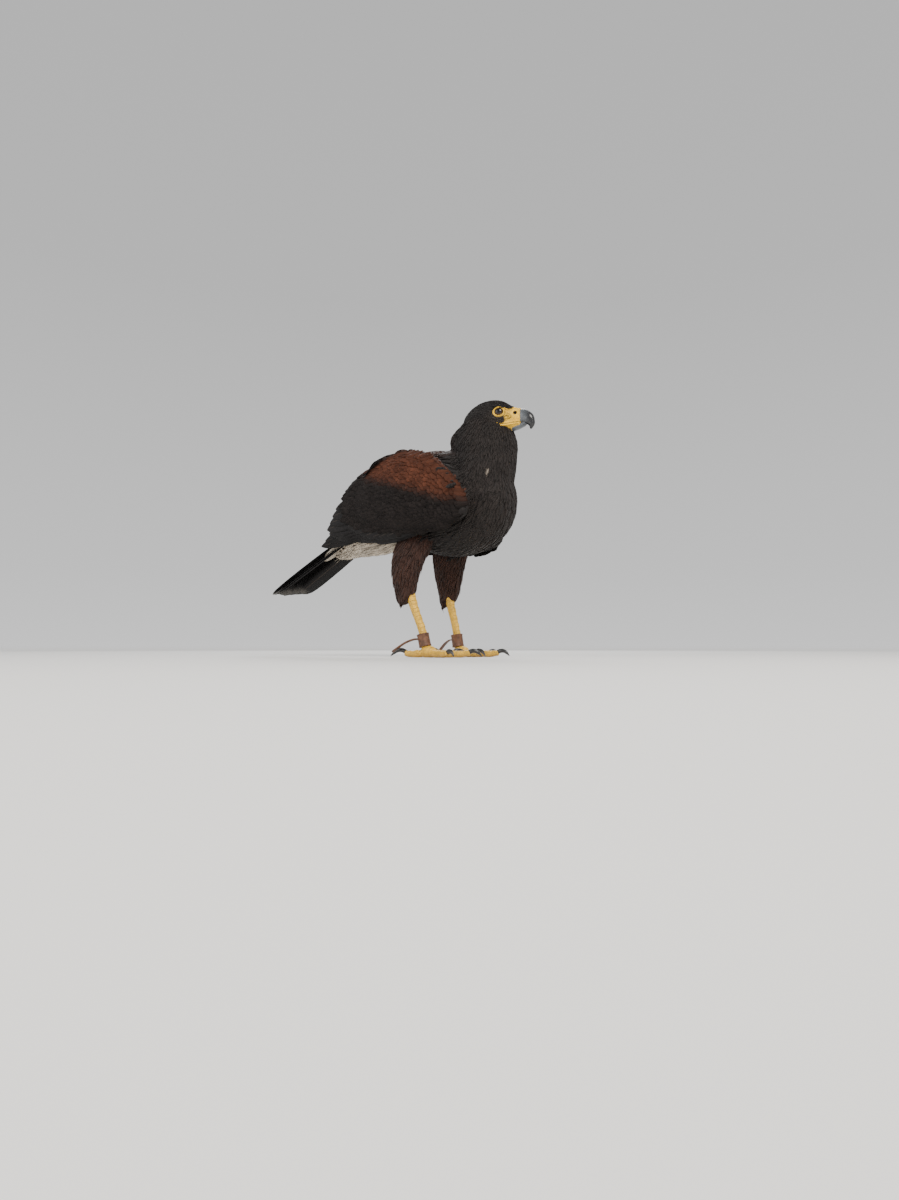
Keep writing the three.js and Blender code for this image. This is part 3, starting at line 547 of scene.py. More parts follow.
# Skin: one body under the feathers, and a finer head joined to it
coat = {"neck": 2.0, "torso": 2.2, "mantle": 2.2, "flank": 2.2, "rump": 2.6, "thigh": 2.0, "shield": 1.2,
        "head": 1.0}  # the feathers' depth over the skin
bodyFuse = {"voxel": 2.6, "rounds": 4}
headFuse = {"voxel": 0.5, "rounds": 2}
hornFuse = {"voxel": 0.4, "rounds": 3}
legFuse = {"voxel": 0.55, "rounds": 2}
bodyForms = {
    "neck": lambda bm, grow: addBody(bm, neckStations, up=(1, 0, 0), grow=grow),
    "torso": lambda bm, grow: addBody(bm, torsoStations, grow=grow),
    "mantle": lambda bm, grow: addBody(bm, mantleStations, grow=grow),
    "rump": lambda bm, grow: addBody(bm, rumpStations, grow=grow),
}
for name, side in birdSides.items():
    bodyForms[f"shield_{name}"] = lambda bm, grow, side=side: addShield(bm, side, grow)
    bodyForms[f"flank_{name}"] = lambda bm, grow, side=side: addBody(bm, flankStations(side), grow=grow)
for name, leg in legs.items():
    bodyForms[f"thigh_{name}"] = lambda bm, grow, leg=leg: addBody(
        bm, thighStations(leg), up=(1, 0, 0), grow=grow, sides=32, rows=32)

bm = bmesh.new()
for form, draw in bodyForms.items():
    draw(bm, -coat[form.split("_")[0]])
for side in birdSides.values():
    addHand(bm, side)
bodySkin = fuse(finishMesh("bodySkin", bm), **bodyFuse)


# The head's bare forms: brow, lids, cere, mouth corners and nostrils
head = {
    "brow": [(65, 18.2, 289.4), (75, 19.6, 288.9), (84, 17.3, 287.2), (91, 12.0, 284.6)],
    "mouth": [(79.5, 15.5, 268.4), (86, 11.8, 268.8), (94, 8.8, 269.9), (101, 6.1, 270.6)],
    "lid": {"wide": 5.6, "tall": 4.6, "thick": 0.6, "drop": 0.35},
    "nostril": (97.2, 8.9, 281.2),
}
cereStations = [
    ((87, 0, 278), 0, 0), ((89, 0, 278), 11.4, 12.5), ((93.5, 0, 278.4), 10.2, 12, 9.5),
    ((98, 0, 278.4), 8.6, 10.4, 8.2), ((101.6, 0, 278), 7.2, 9, 6.8), ((103, 0, 277.8), 0, 0),
]
jawStations = [
    ((70, 0, 268), 0, 0), ((76, 0, 268.2), 14.4, 4.6), ((84, 0, 268.4), 12.4, 5.0), ((92, 0, 269), 9.6, 4.8),
    ((98, 0, 269.8), 7.4, 4.2), ((101, 0, 270.2), 6.6, 3.6), ((102.5, 0, 270.2), 0, 0),
]
eyeAxis = {side: unit(np.array([0.34, side, 0.03])) for side in birdSides.values()}


# The eye's middle, its line of sight, and the ways forward and up in the plane of its opening
def eyePlane(side):
    axis = eyeAxis[side]
    ahead = unit(np.array([1, 0, 0]) - axis * axis[0])
    return np.array(eye["at"]) * (1, side, 1), axis, ahead, np.cross(axis, ahead) * -side


# The lids: a thin ball over the eyeball, and the thick rim of their opening
def addLids(bm, side):
    middle, axis, ahead, up = eyePlane(side)
    for vert in addBall(bm, 40, 28)[0]:
        vert.co = vert.co * (eye["radius"] + 0.75) + Vector(middle)
    turn = np.linspace(0, 2.06 * math.pi, 27)
    lid = head["lid"]
    flat = np.stack([np.cos(turn) * lid["wide"], np.sin(turn) * lid["tall"] - lid["drop"]])
    deep = np.sqrt((eye["radius"] + 0.45)**2 - (flat**2).sum(0))
    rim = middle + np.outer(deep, axis) + np.outer(flat[0], ahead) + np.outer(flat[1], up)
    addRod(bm, rim, [(0, lid["thick"]), (1, lid["thick"])], sides=12, rows=72)


def mirrored(line, side, lift=0.0):
    return [(x, side * y, z + lift) for x, y, z in line]


def addBrow(bm, side, grow=0.0):
    radii = [(0, 0.4), (0.4, 2.1 + grow), (0.7, 2.1 + grow), (1, 0.6)]
    addRod(bm, mirrored(head["brow"], side), radii, flat=0.85)


bm = bmesh.new()
addBody(bm, skullStations, grow=-coat["head"], sides=64, rows=56)
addBody(bm, cereStations, sides=48, rows=24)
addBody(bm, jawStations, sides=48, rows=24)
for side in birdSides.values():
    addBrow(bm, side, -coat["head"])
    for lift in (1.15, -1.15):
        addRod(bm, mirrored(head["mouth"], side, lift), [(0, 0.5), (0.2, 1.15), (0.7, 1.2), (1, 0.9)])
    addLids(bm, side)
headSkin = fuse(finishMesh("headSkin", bm), **headFuse)


# A boolean gives its points and faces in no fixed order, so they are sorted by place
def sortMesh(mesh):
    bm = bmesh.new()
    bm.from_mesh(mesh)
    slant = Vector((1.0, 1.7321, 2.2361))
    bm.verts.sort(key=lambda vert: vert.co.dot(slant))
    bm.faces.sort(key=lambda face: face.calc_center_median().dot(slant))
    bm.to_mesh(mesh)
    bm.free()


# Cuts a ball or rod out of a fused mesh
def carve(made, draw):
    bm = bmesh.new()
    draw(bm)
    cutter = finishMesh("cutter", bm)
    cut = made.modifiers.new("carve", "BOOLEAN")
    cut.operation = "DIFFERENCE"
    cut.solver = "EXACT"
    cut.object = cutter
    applyModifiers(made)
    bpy.data.objects.remove(cutter)
    sortMesh(made.data)
    made.data.polygons.foreach_set("use_smooth", [True] * len(made.data.polygons))


# The hollows of the eyeballs and nostrils, then the openings of the lids
def drawHollows(bm):
    for side in birdSides.values():
        middle = eyePlane(side)[0]
        for vert in addBall(bm, 32, 24)[0]:
            vert.co = vert.co * (eye["radius"] + 0.15) + Vector(middle)
        x, y, z = head["nostril"]
        for vert in addBall(bm, 16, 12)[0]:
            slant = vert.co.x * 0.7
            vert.co = Vector((vert.co.x * 1.6 + x, vert.co.y * 2.2 + side * y, vert.co.z * 1.0 + slant + z))


def drawOpenings(bm):
    lid = head["lid"]
    for side in birdSides.values():
        middle, axis, ahead, up = eyePlane(side)
        for vert in addBall(bm, 40, 24)[0]:
            a, b, c = vert.co
            vert.co = Vector(middle + axis * (7.4 + c * 5) + ahead * a * (lid["wide"] - 0.1)
                             + up * (b * (lid["tall"] - 0.1) - lid["drop"]))


carve(headSkin, drawHollows)
carve(headSkin, drawOpenings)
print("head and body skins fused", len(bodySkin.data.vertices), len(headSkin.data.vertices))


# How bare and yellow the face is at points of the head, from 0 to 1
def bareFace(points):
    x, _, z = np.moveaxis(points, -1, 0)
    ring = ease(6.8, 6.3, eyeAway(points))
    cere = ease(91, 93, x - 0.12 * (z - 278))
    lore = 0.85 * ease(84.5, 88, x + 0.1 * (z - 278)) * ease(287.4, 285.4, z) * ease(263.5, 265.5, z)
    mouth = ease(2.9, 2.2, np.abs(z - mouthHeight(x))) * ease(77, 79, x)
    return np.clip(np.maximum.reduce([ring * 0.9, cere, lore, mouth]), 0, 1)


# How far points lie from the middle of the eye's opening, seen from the side
def eyeAway(points):
    x, y, z = np.moveaxis(points, -1, 0)
    away = np.hypot(x - eye["at"][0] - 1.6, (z - eye["at"][2]) * 1.08)
    return np.where(np.abs(y) > 9, away, 99)


def mouthHeight(x):
    at = np.array(head["mouth"])
    return np.interp(x, at[:, 0], at[:, 2])


# The bare face, with dark lid rims, and painted shade in the nostrils and along the mouth line between the
# mandibles
def faceColours(points):
    colours = mix(markings(points, "head"), plume["yellow"], bareFace(points))
    x, y, z = points.T
    mirror = np.stack([x, np.abs(y), z], -1)
    rim = ease(7.6, 7.42, np.linalg.norm(mirror - eye["at"], axis=1))
    # painted shade in the nostril openings
    nostrilShade = ease(2.6, 2.0, np.linalg.norm((mirror - head["nostril"]) * (1, 0.7, 1), axis=1))
    # painted shade along the crease of the closed mouth
    line = ease(0.6, 0.2, np.abs(z - mouthHeight(x))) * ease(79, 81, x)
    return mix(colours, plume["dark"], np.maximum.reduce([rim, nostrilShade, 0.9 * line]))


# One skin object, with the markings on it
joined = bmesh.new()
joined.from_mesh(bodySkin.data)
bodyCount = len(joined.verts)
joined.from_mesh(headSkin.data)
for old in (bodySkin, headSkin):
    bpy.data.objects.remove(old)
skinMesh = bpy.data.meshes.new("skin")
joined.to_mesh(skinMesh)
joined.free()
skin = bpy.data.objects.new("skin", skinMesh)
bpy.context.scene.collection.objects.link(skin)
skinMesh.polygons.foreach_set("use_smooth", [True] * len(skinMesh.polygons))
skinMesh.materials.clear()
skinMesh.materials.append(skinMaterial())
places = meshPoints(skinMesh) * 1000 - birdShift
skinColours = markings(places, "torso")
isWing = np.abs(places[:, 1]) > 48
isRump = places[:, 0] < -60
isThigh = (places[:, 2] < 128) & (places[:, 0] > -62)
skinColours[isWing] = markings(places[isWing], "shield")
skinColours[isRump & ~isWing] = markings(places[isRump & ~isWing], "rump")
skinColours[isThigh & ~isWing] = markings(places[isThigh & ~isWing], "thigh")
skinColours[bodyCount:] = faceColours(places[bodyCount:])
addColours(skinMesh, skinColours)

bpy.context.view_layer.objects.active = skin
skin.select_set(True)
skinMesh.uv_layers.new(name="OFBake")
bpy.ops.object.mode_set(mode="EDIT")
bpy.ops.mesh.select_all(action="SELECT")
bpy.ops.uv.smart_project(angle_limit=1.2, island_margin=0.001)
bpy.ops.object.mode_set(mode="OBJECT")
skin.select_set(False)
dress(skin, nodes=("head", "neck", "torso", "rump", "thigh_right", "thigh_left", "cere"))
skinTree = BVHTree.FromPolygons([Vector(p) for p in places], [tuple(p.vertices) for p in skinMesh.polygons])
skinUv = np.zeros(len(skinMesh.loops) * 2)
skinMesh.uv_layers["OFBake"].data.foreach_get("uv", skinUv)
skinUv = skinUv.reshape(-1, 2)
print("skin unwrapped")


# Where a point's nearest place on the skin lies in the skin's unwrap
def unwrapPlace(point):
    hit, _, index, _ = skinTree.find_nearest(Vector(point))
    loops = list(skinMesh.polygons[index].loop_indices)[:3]
    corners = [Vector(places[skinMesh.loops[i].vertex_index]) for i in loops]
    flat = [Vector((*skinUv[i], 0)) for i in loops]
    return barycentric_transform(hit, *corners, *flat)[:2]


# Feathers: one closed vane, stamped many times


# A kind of vane: a closed tube of few sides, cut at the shares. Its corners lie across it, as parts of
# the half width, and have heights in thicknesses. Each vertex has a row, for its share along.
def vaneKind(across, height, shares, widths):
    corners = len(across)
    bm = bmesh.new()
    bmesh.ops.create_cone(bm, cap_ends=True, segments=corners, radius1=1, radius2=1, depth=1)
    for share in shares[1:-1]:
        everything = bm.verts[:] + bm.edges[:] + bm.faces[:]
        bmesh.ops.bisect_plane(bm, geom=everything, plane_co=(0, 0, share - 0.5), plane_no=(0, 0, 1))
    sortFaces(bm)
    bmesh.ops.recalc_face_normals(bm, faces=bm.faces)
    x, y, z = np.array([v.co for v in bm.verts]).T
    row = np.argmin(np.abs(z[:, None] + 0.5 - np.array(shares)), axis=1)
    turn = np.floor(np.arctan2(y, x) / (2 * math.pi) * corners + 0.4).astype(int) % corners
    faces = [[v.index for v in f.verts] for f in bm.faces]
    bm.free()
    return {"row": row, "faces": faces, "shares": np.array(shares), "widths": np.array(widths),
            "across": np.array(across)[turn], "height": np.array(height)[turn]}


tinyVane = vaneKind([1, 0, -1], [0, 1, 0], [0, 0.35, 0.72, 1], [0.5, 1.0, 0.68, 0.05])
laceVane = vaneKind([1, 0, -1, 0], [0, 1, 0, -0.2], [0, 0.25, 0.5, 0.72, 0.88, 1],
                    [0.5, 0.9, 1.0, 0.8, 0.45, 0.04])
softVane = vaneKind([1, 0.5, 0, -0.5, -1, 0], [0, 0.7, 1, 0.7, 0, -0.3],
                    [0, 0.25, 0.5, 0.7, 0.85, 0.94, 1], [0.4, 0.8, 0.98, 1.0, 0.82, 0.54, 0.12])
longVane = vaneKind([1, 0.72, 0.3, 0, -0.3, -0.72, -1, 0], [0, 0.55, 0.8, 1.25, 0.8, 0.55, 0, -0.3],
                    [0, 0.06, 0.14, 0.25, 0.37, 0.5, 0.62, 0.73, 0.82, 0.89, 0.94, 0.975, 1],
                    [0.25, 0.5, 0.72, 0.87, 0.95, 1.0, 1.0, 0.97, 0.88, 0.74, 0.56, 0.34, 0.08])
bluntWidths = [0.25, 0.42, 0.55, 0.68, 0.8, 0.9, 0.97, 1.0, 1.0, 0.96, 0.86, 0.66, 0.3]
bluntVane = dict(longVane, widths=np.array(bluntWidths))


# Makes one mesh of many feathers. centre, up and colours are [feather, row, 3], and half, the half
# width, is [feather, row]. The OFBake map gives each feather a patch at its root's place on the skin.
patchSize = 0.003


def stampFeathers(name, shape, centre, up, half, thick, camber, colours, material, edge=None, nodes=()):
    count = len(half)
    ahead = unit(np.gradient(centre, axis=1))
    side = unit(np.cross(up, ahead))
    out = unit(np.cross(ahead, side))
    row, across, height = shape["row"], shape["across"], shape["height"]
    reach = half[:, row] * across
    lift = height * thick * (1 - 0.5 * shape["shares"][row]) - camber * np.abs(across) ** 2 * half[:, row]
    points = centre[:, row] + side[:, row] * reach[..., None] + out[:, row] * lift[..., None]
    colour = colours[:, row].copy()
    if edge is not None:
        colour = mix(colour, edge[:, None, :], 0.5 * (np.abs(across) ** 3)[None, :] * np.ones((count, 1)))
    perFeather = len(row)
    mesh = bpy.data.meshes.new(name)
    sizes = [len(f) for f in shape["faces"]]
    flatFaces = np.concatenate([np.array(f) for f in shape["faces"]])
    loopVerts = (flatFaces[None, :] + np.arange(count)[:, None] * perFeather).ravel()
    mesh.vertices.add(count * perFeather)
    mesh.vertices.foreach_set("co", toFrame(points).ravel())
    mesh.loops.add(len(loopVerts))
    mesh.loops.foreach_set("vertex_index", loopVerts)
    starts = np.concatenate([[0], np.cumsum(np.tile(sizes, count))[:-1]])
    mesh.polygons.add(len(starts))
    mesh.polygons.foreach_set("loop_start", starts)
    mesh.polygons.foreach_set("use_smooth", [True] * len(starts))
    mesh.update(calc_edges=True)
    addColours(mesh, colour.reshape(-1, 3))
    local = np.stack([across * 0.5 + 0.5, shape["shares"][row]], -1)
    vane = mesh.uv_layers.new(name="vane")
    vane.data.foreach_set("uv", np.tile(local[flatFaces], (count, 1)).ravel())
    roots = np.array([unwrapPlace(p) for p in centre[:, 0]])
    patch = (local[flatFaces][None] - 0.5) * patchSize + roots[:, None, :]
    bake = mesh.uv_layers.new(name="OFBake")
    bake.data.foreach_set("uv", patch.ravel())
    made = bpy.data.objects.new(name, mesh)
    bpy.context.scene.collection.objects.link(made)
    dress(made, material, nodes)
    turnOut(mesh)


# Faces point outwards: a stamped vane that came out inside out is flipped
def turnOut(mesh):
    mesh.calc_loop_triangles()
    points = meshPoints(mesh)
    corners = np.zeros(len(mesh.loop_triangles) * 3, int)
    mesh.loop_triangles.foreach_get("vertices", corners)
    a, b, c = (points[corners.reshape(-1, 3)[:, k]] for k in range(3))
    if np.einsum("ij,ij->i", a, np.cross(b, c)).sum() < 0:
        mesh.flip_normals()


# Random places on a closed form, a spacing apart, where the skin is near
triesPerPlace = 14
nearSkin = 1.6
cellsAround = list(itertools.product((-1, 0, 1), repeat=3))


def scatter(draw, grow, spacing, keep):
    bm = bmesh.new()
    draw(bm, grow)
    sortFaces(bm)
    corners = np.array([(f.verts[0].co, f.verts[k].co, f.verts[k + 1].co)
                        for f in bm.faces for k in range(1, len(f.verts) - 1)])
    bm.free()
    normals = np.cross(corners[:, 1] - corners[:, 0], corners[:, 2] - corners[:, 0])
    areas = np.linalg.norm(normals, axis=1) / 2
    tries = int(areas.sum() / spacing**2 * triesPerPlace)
    picked = rng.choice(len(areas), size=tries, p=areas / areas.sum())
    a, b = rng.random((2, tries, 1))
    flip = a + b > 1
    a, b = np.where(flip, 1 - a, a), np.where(flip, 1 - b, b)
    c = corners[picked]
    points = c[:, 0] + (c[:, 1] - c[:, 0]) * a + (c[:, 2] - c[:, 0]) * b
    grid, chosen = {}, []
    for point in points[keep(points)]:
        if skinTree.find_nearest(Vector(point), nearSkin)[0] is None:
            continue
        x, y, z = (int(v) for v in np.floor(point / spacing))
        beside = (other for i, j, k in cellsAround for other in grid.get((x + i, y + j, z + k), ()))
        if all(math.dist(other, point) >= spacing for other in beside):
            grid.setdefault((x, y, z), []).append(tuple(point))
            chosen.append(point)
    return np.array(chosen)


# Walks feathers over the skin from their roots, each along its way. Where the skin turns away from a
# feather by more than its cling allows, the feather goes straight on.
def layFeathers(roots, ways, lengths, shares, base, rise, cling=0.5):
    count = len(roots)
    centre = np.zeros((count, len(shares), 3))
    up = np.zeros_like(centre)
    for i in range(count):
        point, normal = skinTree.find_nearest(Vector(roots[i]))[:2]
        way = Vector(ways[i])
        way = (way - normal * way.dot(normal)).normalized()
        first, free, last = way.copy(), False, 0.0
        for k, share in enumerate(shares):
            step = (share - last) * lengths[i]
            hit = None if free else skinTree.find_nearest(point + way * step)
            if free or (step > 0 and (hit[0] - point).dot(first) < cling * step):
                free = True
                way = (way * 0.5 + first * 0.5).normalized()
                point = point + way * step
            else:
                if step > 0:
                    way = (hit[0] - point).normalized()
                point = hit[0]
                normal = (normal * 0.6 + hit[1] * 0.4).normalized()
            centre[i, k] = point + normal * (base + rise[i] * share**1.2)
            up[i, k] = normal
            last = share
    return centre, up


# The feathers of each tract: their spacing and size, how far the tips rise and vary, the way they lie,
# and where they grow longer or shorter
tracts = {
    "head": {"spacing": 1.15, "length": 6.0, "half": 0.9, "rise": 0.4, "ruffle": 0.3,
             "flow": lambda x, y, z: (-1, 0.12 * np.sign(y), -0.25 - 0.5 * ease(285, 262, z)),
             "growth": lambda x, y, z: 0.72 + 0.7 * ease(88, 45, x)},
    "neck": {"spacing": 2.15, "length": 13.5, "half": 1.75, "rise": 0.55, "ruffle": 0.5,
             "flow": lambda x, y, z: (-0.45 + 0.35 * ease(40, 80, x), 0, -1),
             "growth": lambda x, y, z: 0.62 + 0.45 * ease(280, 225, z)},
    "torso": {"spacing": 3.0, "length": 20, "half": 2.9, "rise": 0.8, "ruffle": 0.6,
              "flow": lambda x, y, z: (-1 + 0.55 * ease(30, 85, x), 0,
                                       -0.25 - 0.75 * ease(30, 85, x) - 0.1 * ease(200, 240, z))},
    "rump": {"spacing": 3.6, "length": 29, "half": 3.6, "rise": 1.4, "ruffle": 1.2, "cling": 0.1,
             "flow": lambda x, y, z: (-1, 0, -0.42 + 0.3 * ease(-100, -60, x) * ease(170, 150, z))},
    "thigh": {"spacing": 2.35, "length": 18, "half": 1.65, "rise": 0.9, "ruffle": 1.3, "cling": 0.1,
              "flow": lambda x, y, z: (-0.3, 0, -1),
              "growth": lambda x, y, z: 1 + 0.15 * ease(115, 90, z) - 0.35 * ease(84, 70, z)},
    "shield": {"spacing": 3.1, "length": 12, "half": 2.9, "rise": 0.8, "ruffle": 0.3,
               "flow": lambda x, y, z: (-1, 0, -0.18 - 0.25 * ease(200, 245, z) + 0.5 * ease(30, 60, x))},
}


def tuftColours(shape, centre, tract, spread=0.2):
    count = len(centre)
    colours = markings(centre[:, -2:-1].repeat(len(shape["shares"]), 1), tract)
    tone = rng.uniform(1 - spread, 1 + spread, (count, 1, 1))
    # Each feather is painted darker at its root, as painted shade where it lies under the feathers above,
    # fading towards its tip; the tone also varies at random
    return colours * tone * (0.8 + 0.3 * shape["shares"][None, :, None])


# Covers the skin under some forms, where keep is true, with one tract's feathers
def coatOf(name, draws, grow, tract, keep, shape=laceVane):
    about = tracts[tract]
    groups = [scatter(draw, grow, about["spacing"], keep) for draw in draws]
    roots = np.vstack([g for g in groups if len(g)])
    count = len(roots)
    flow = np.stack(np.broadcast_arrays(*about["flow"](*roots.T)), -1)
    ways = unit(flow) + rng.normal(0, 0.13, (count, 3))
    size = rng.uniform(0.85, 1.18, count) * about.get("growth", lambda x, y, z: 1.0)(*roots.T)
    lengths = about["length"] * size
    rise = about["rise"] + rng.uniform(-0.3, 1, count) * about["ruffle"]
    centre, up = layFeathers(roots, ways, lengths, shape["shares"], 0.2, rise, about.get("cling", 0.5))
    half = about["half"] * size[:, None] * shape["widths"]
    half = half * rng.uniform(0.9, 1.1, (count, len(shape["shares"])))
    lies = laysWell(centre, ways, lengths)
    centre, up, half = centre[lies], up[lies], half[lies]
    colours = tuftColours(shape, centre, tract)
    stampFeathers(name, shape, centre, up, half, 0.2, 0.16, colours, bodyFeather,
                  edge=colours[:, 2] * np.array([1.35, 1.2, 1.1]))
    print(name, len(centre), "feathers")


# False for feathers that were turned from their way, such as those on the blunt end of a form
def laysWell(centre, ways, lengths):
    reach = centre[:, -1] - centre[:, 0]
    first = unit(centre[:, 1] - centre[:, 0])
    straight = np.einsum("ij,ij->i", reach, first) > 0.62 * lengths
    return straight & (np.einsum("ij,ij->i", first, unit(ways)) > 0.4)


def openTorso(points):  # true where neither the folded wings nor the neck hide the torso
    x, y, z = points.T
    return ~((np.abs(y) > 24) & (x < 22) & (x > -96) & (z > 150) & (z < 216))


coatOf("neckFeathers", [bodyForms["neck"]], -coat["neck"], "neck",
       lambda p: p[:, 2] > 166)
coatOf("breastFeathers", [bodyForms[form] for form in ("torso", "flank_right", "flank_left")],
       -coat["torso"], "torso", lambda p: openTorso(p) & (p[:, 2] < 215))
coatOf("backFeathers", [bodyForms["torso"], bodyForms["mantle"]], -coat["torso"], "torso",
       lambda p: p[:, 2] > 195)
coatOf("rumpFeathers", [bodyForms["rump"]], -coat["rump"], "rump",
       lambda p: p[:, 0] > -136)
coatOf("thighFeathers", [bodyForms["thigh_right"], bodyForms["thigh_left"]], -coat["thigh"], "thigh",
       lambda p: p[:, 2] > 70)


def wingFront(points):  # the wing's leading edge and inner face, round the rim of its shield
    x, y, z = points.T
    reach = np.abs(y)
    outer = wingOut(x, np.where(y > 0, z + wingDrop(x), z))
    return (reach < outer - 2.5) & (reach > outer - 22) & (x > -40)


coatOf("edgeCoverts", [bodyForms["shield_right"], bodyForms["shield_left"]], -coat["shield"], "shield",
       wingFront, softVane)

# The head's feathers are the smallest, and leave the face bare
headDraws = [lambda bm, grow: addBody(bm, skullStations, grow=grow, sides=64, rows=48)]
for side in birdSides.values():
    headDraws.append(lambda bm, grow, side=side: addBrow(bm, side, grow))


def feathered(points):
    return (bareFace(points) < 0.3) & (points[:, 0] < 94)


coatOf("headFeathers", headDraws, -coat["head"], "head", feathered, tinyVane)


# Sparse dark bristles on the bare skin between eye and bill
def loreBristles():
    count = 110
    sides = np.where(np.arange(count) % 2, 1, -1)
    roots = np.stack([rng.uniform(84.5, 93.5, count), sides * 15, rng.uniform(270, 285.5, count)], -1)
    ways = np.stack([rng.uniform(0.6, 1, count), 0.4 * sides, rng.normal(0.25, 0.25, count)], -1)
    centre, up = layFeathers(roots, ways, rng.uniform(2.5, 5, count), tinyVane["shares"], 0.0,
                             rng.uniform(0.8, 2.0, count))
    half = np.full((count, len(tinyVane["shares"])), 0.11) * tinyVane["widths"]
    colours = np.broadcast_to(plume["dark"], centre.shape)
    stampFeathers("loreBristles", tinyVane, centre, up, half, 0.12, 0.0, colours, bodyFeather)


loreBristles()

# Flight feathers


# Lays feathers on the folded wing, from rows of root x and z, tip x and z, half width, lift at root and
# tip, bow and tilt
def wingRows(side, rows, shape):
    shares = shape["shares"]
    columns = np.array(rows, float).T[:, :, None]
    rootX, rootZ, tipX, tipZ, wide, rootLift, tipLift, bow, tilt = columns
    x = rootX + (tipX - rootX) * shares
    z = rootZ + (tipZ - rootZ) * shares - bow * np.sin(math.pi * shares)
    centre, up = onWing(side, x, z, rootLift + (tipLift - rootLift) * shares**2)
    ahead = unit(np.gradient(centre, axis=1))
    across = unit(np.cross(up, ahead))
    turn = np.radians(tilt)[..., None] * side
    up = unit(up * np.cos(turn) + across * np.sin(turn))
    return centre, up, wide * shape["widths"] * rng.uniform(0.97, 1.03, (len(rows), len(shares)))


# One row or group of feathers on the folded wing
def flightPiece(name, side, rows, colourOf, material=None, nodes=()):
    centre, up, half = wingRows(side, rows, longVane)
    colours = colourOf(centre) * rng.uniform(0.85, 1.15, (len(rows), 1, 1))
    stampFeathers(name, longVane, centre, up, half, 0.5, 0.07, colours, material or flightFeather,
                  nodes=nodes)


# The long rows of the folded wing, from the bend to the body. Each has the line of its roots and of its
# tips in x and z, how far the tips stray, and half width, lift at root and tip, bow and tilt.
wing = {
    "secondaries": {
        "count": 14,
        "roots": [(40, 163), (-34, 216)],
        "tips": [(-80, 141), (-110, 145), (-134, 148), (-146, 159), (-136, 180), (-120, 200)],
        "stray": (2, 1),
        "lie": (12.5, -2.4, -1.6, 1, 4.5),
    },
    "greaterCoverts": {
        "count": 15,
        "roots": [(8, 155), (-30, 156), (-62, 168), (-74, 191), (-64, 222)],
        "tips": [(-38, 144), (-78, 146), (-108, 160), (-116, 182), (-100, 211)],
        "stray": (2, 0.7),
        "lie": (8.8, 0.0, 1.0, 0, 4),
    },
    "medianCoverts": {
        "count": 22,
        "roots": [(40, 162), (0, 163), (-34, 172), (-50, 194), (-44, 226)],
        "tips": [(2, 150), (-42, 153), (-82, 165), (-96, 188), (-88, 217)],
        "stray": (2, 1),
        "lie": (7, 1.0, 1.8, 0, 4),
    },
}
primaryTips = [(-112, 164), (-122, 162), (-132, 159), (-141, 155), (-149, 151), (-156, 146), (-163, 139),
               (-160, 139), (-152, 142), (-138, 147)]
leftReach = {"back": 24, "down": 2}  # the left wing's primaries lie farther back
thumbCount = 3


def flat2(points, shares):
    return curvePoints([(x, z, 0) for x, z in points], shares)[:, :2]


def insideShield(x, z):
    rim = flat2(shieldEdge + shieldEdge[:1], np.linspace(0, 1, 120))
    x0, z0 = rim[:-1].T
    x1, z1 = rim[1:].T
    at = x0 + (z - z0) * (x1 - x0) / np.where(z1 == z0, 1e-9, z1 - z0)
    return (((z0 > z) != (z1 > z)) & (x < at)).sum() % 2 == 1


# Small coverts in uneven rows over the shield, longer towards the rear
lesser = {"rows": (146, 248, 3.7), "places": (66, -112, -5.2), "half": 4.3, "length": 12, "longer": 8}


def lesserRows():
    rows = []
    for level, z in enumerate(np.arange(*lesser["rows"])):
        for x in np.arange(*lesser["places"]):
            x = x - (level % 2) * 2.6 + rng.uniform(-1.1, 1.1)
            high = z + rng.uniform(-1.0, 1.0)
            if not insideShield(x, high):
                continue
            length = lesser["length"] + lesser["longer"] * float(ease(50, -60, x)) + rng.uniform(-1.5, 1.5)
            fall = -0.16 - 0.3 * float(ease(205, 245, high)) + 0.25 * float(ease(25, 58, x))
            fall += rng.normal(0, 0.06)
            half = lesser["half"] + rng.uniform(-0.3, 0.5)
            lift = 1.9 + rng.uniform(0, 0.5)
            rows.append((x, high, x - length, high + fall * length, half, 0.5, lift, 0, 3))
    return rows


def lesserCoverts(name, side):
    rows = lesserRows()
    centre, up, half = wingRows(side, rows, softVane)
    colours = tuftColours(softVane, centre, "shield", 0.24)
    stampFeathers(f"lesserCoverts_{name}", softVane, centre, up, half, 0.3, 0.12, colours, covertFeather,
                  edge=colours[:, 3] * np.array([1.3, 1.2, 1.1]))
    print("lesserCoverts", name, len(rows))


def jitter(size):
    return rng.uniform(-size, size)


def flightColour(points):
    return np.broadcast_to(plume["flight"], points.shape)


def longRow(kind):
    row = wing[kind]
    shares = np.linspace(0, 1, row["count"])
    ends = zip(flat2(row["roots"], shares), flat2(row["tips"], shares))
    strayX, strayZ = row["stray"]
    return [(*root, tip[0] + jitter(strayX), tip[1] + jitter(strayZ), *row["lie"]) for root, tip in ends]


def primaryRow(side):
    back, down = (leftReach["back"], leftReach["down"]) if side > 0 else (0, 0)
    rows = []
    for i, (x, z) in enumerate(primaryTips):
        share = i / (len(primaryTips) - 1)
        lift = -4.4 - 0.7 * i
        rows.append((30 - 42 * share, 157 - 4 * share, x - back, z - down, 11 - 2 * share, lift, lift,
                     -2 - 4 * share, 3))
    return rows


def thumbRow():
    return [(42, 157 + 1.2 * k, -10 - 8 * k, 143 + 2 * k, 4.6, -4.0 + 0.9 * k, -3.4 + 0.9 * k, 0, 4)
            for k in range(thumbCount)]


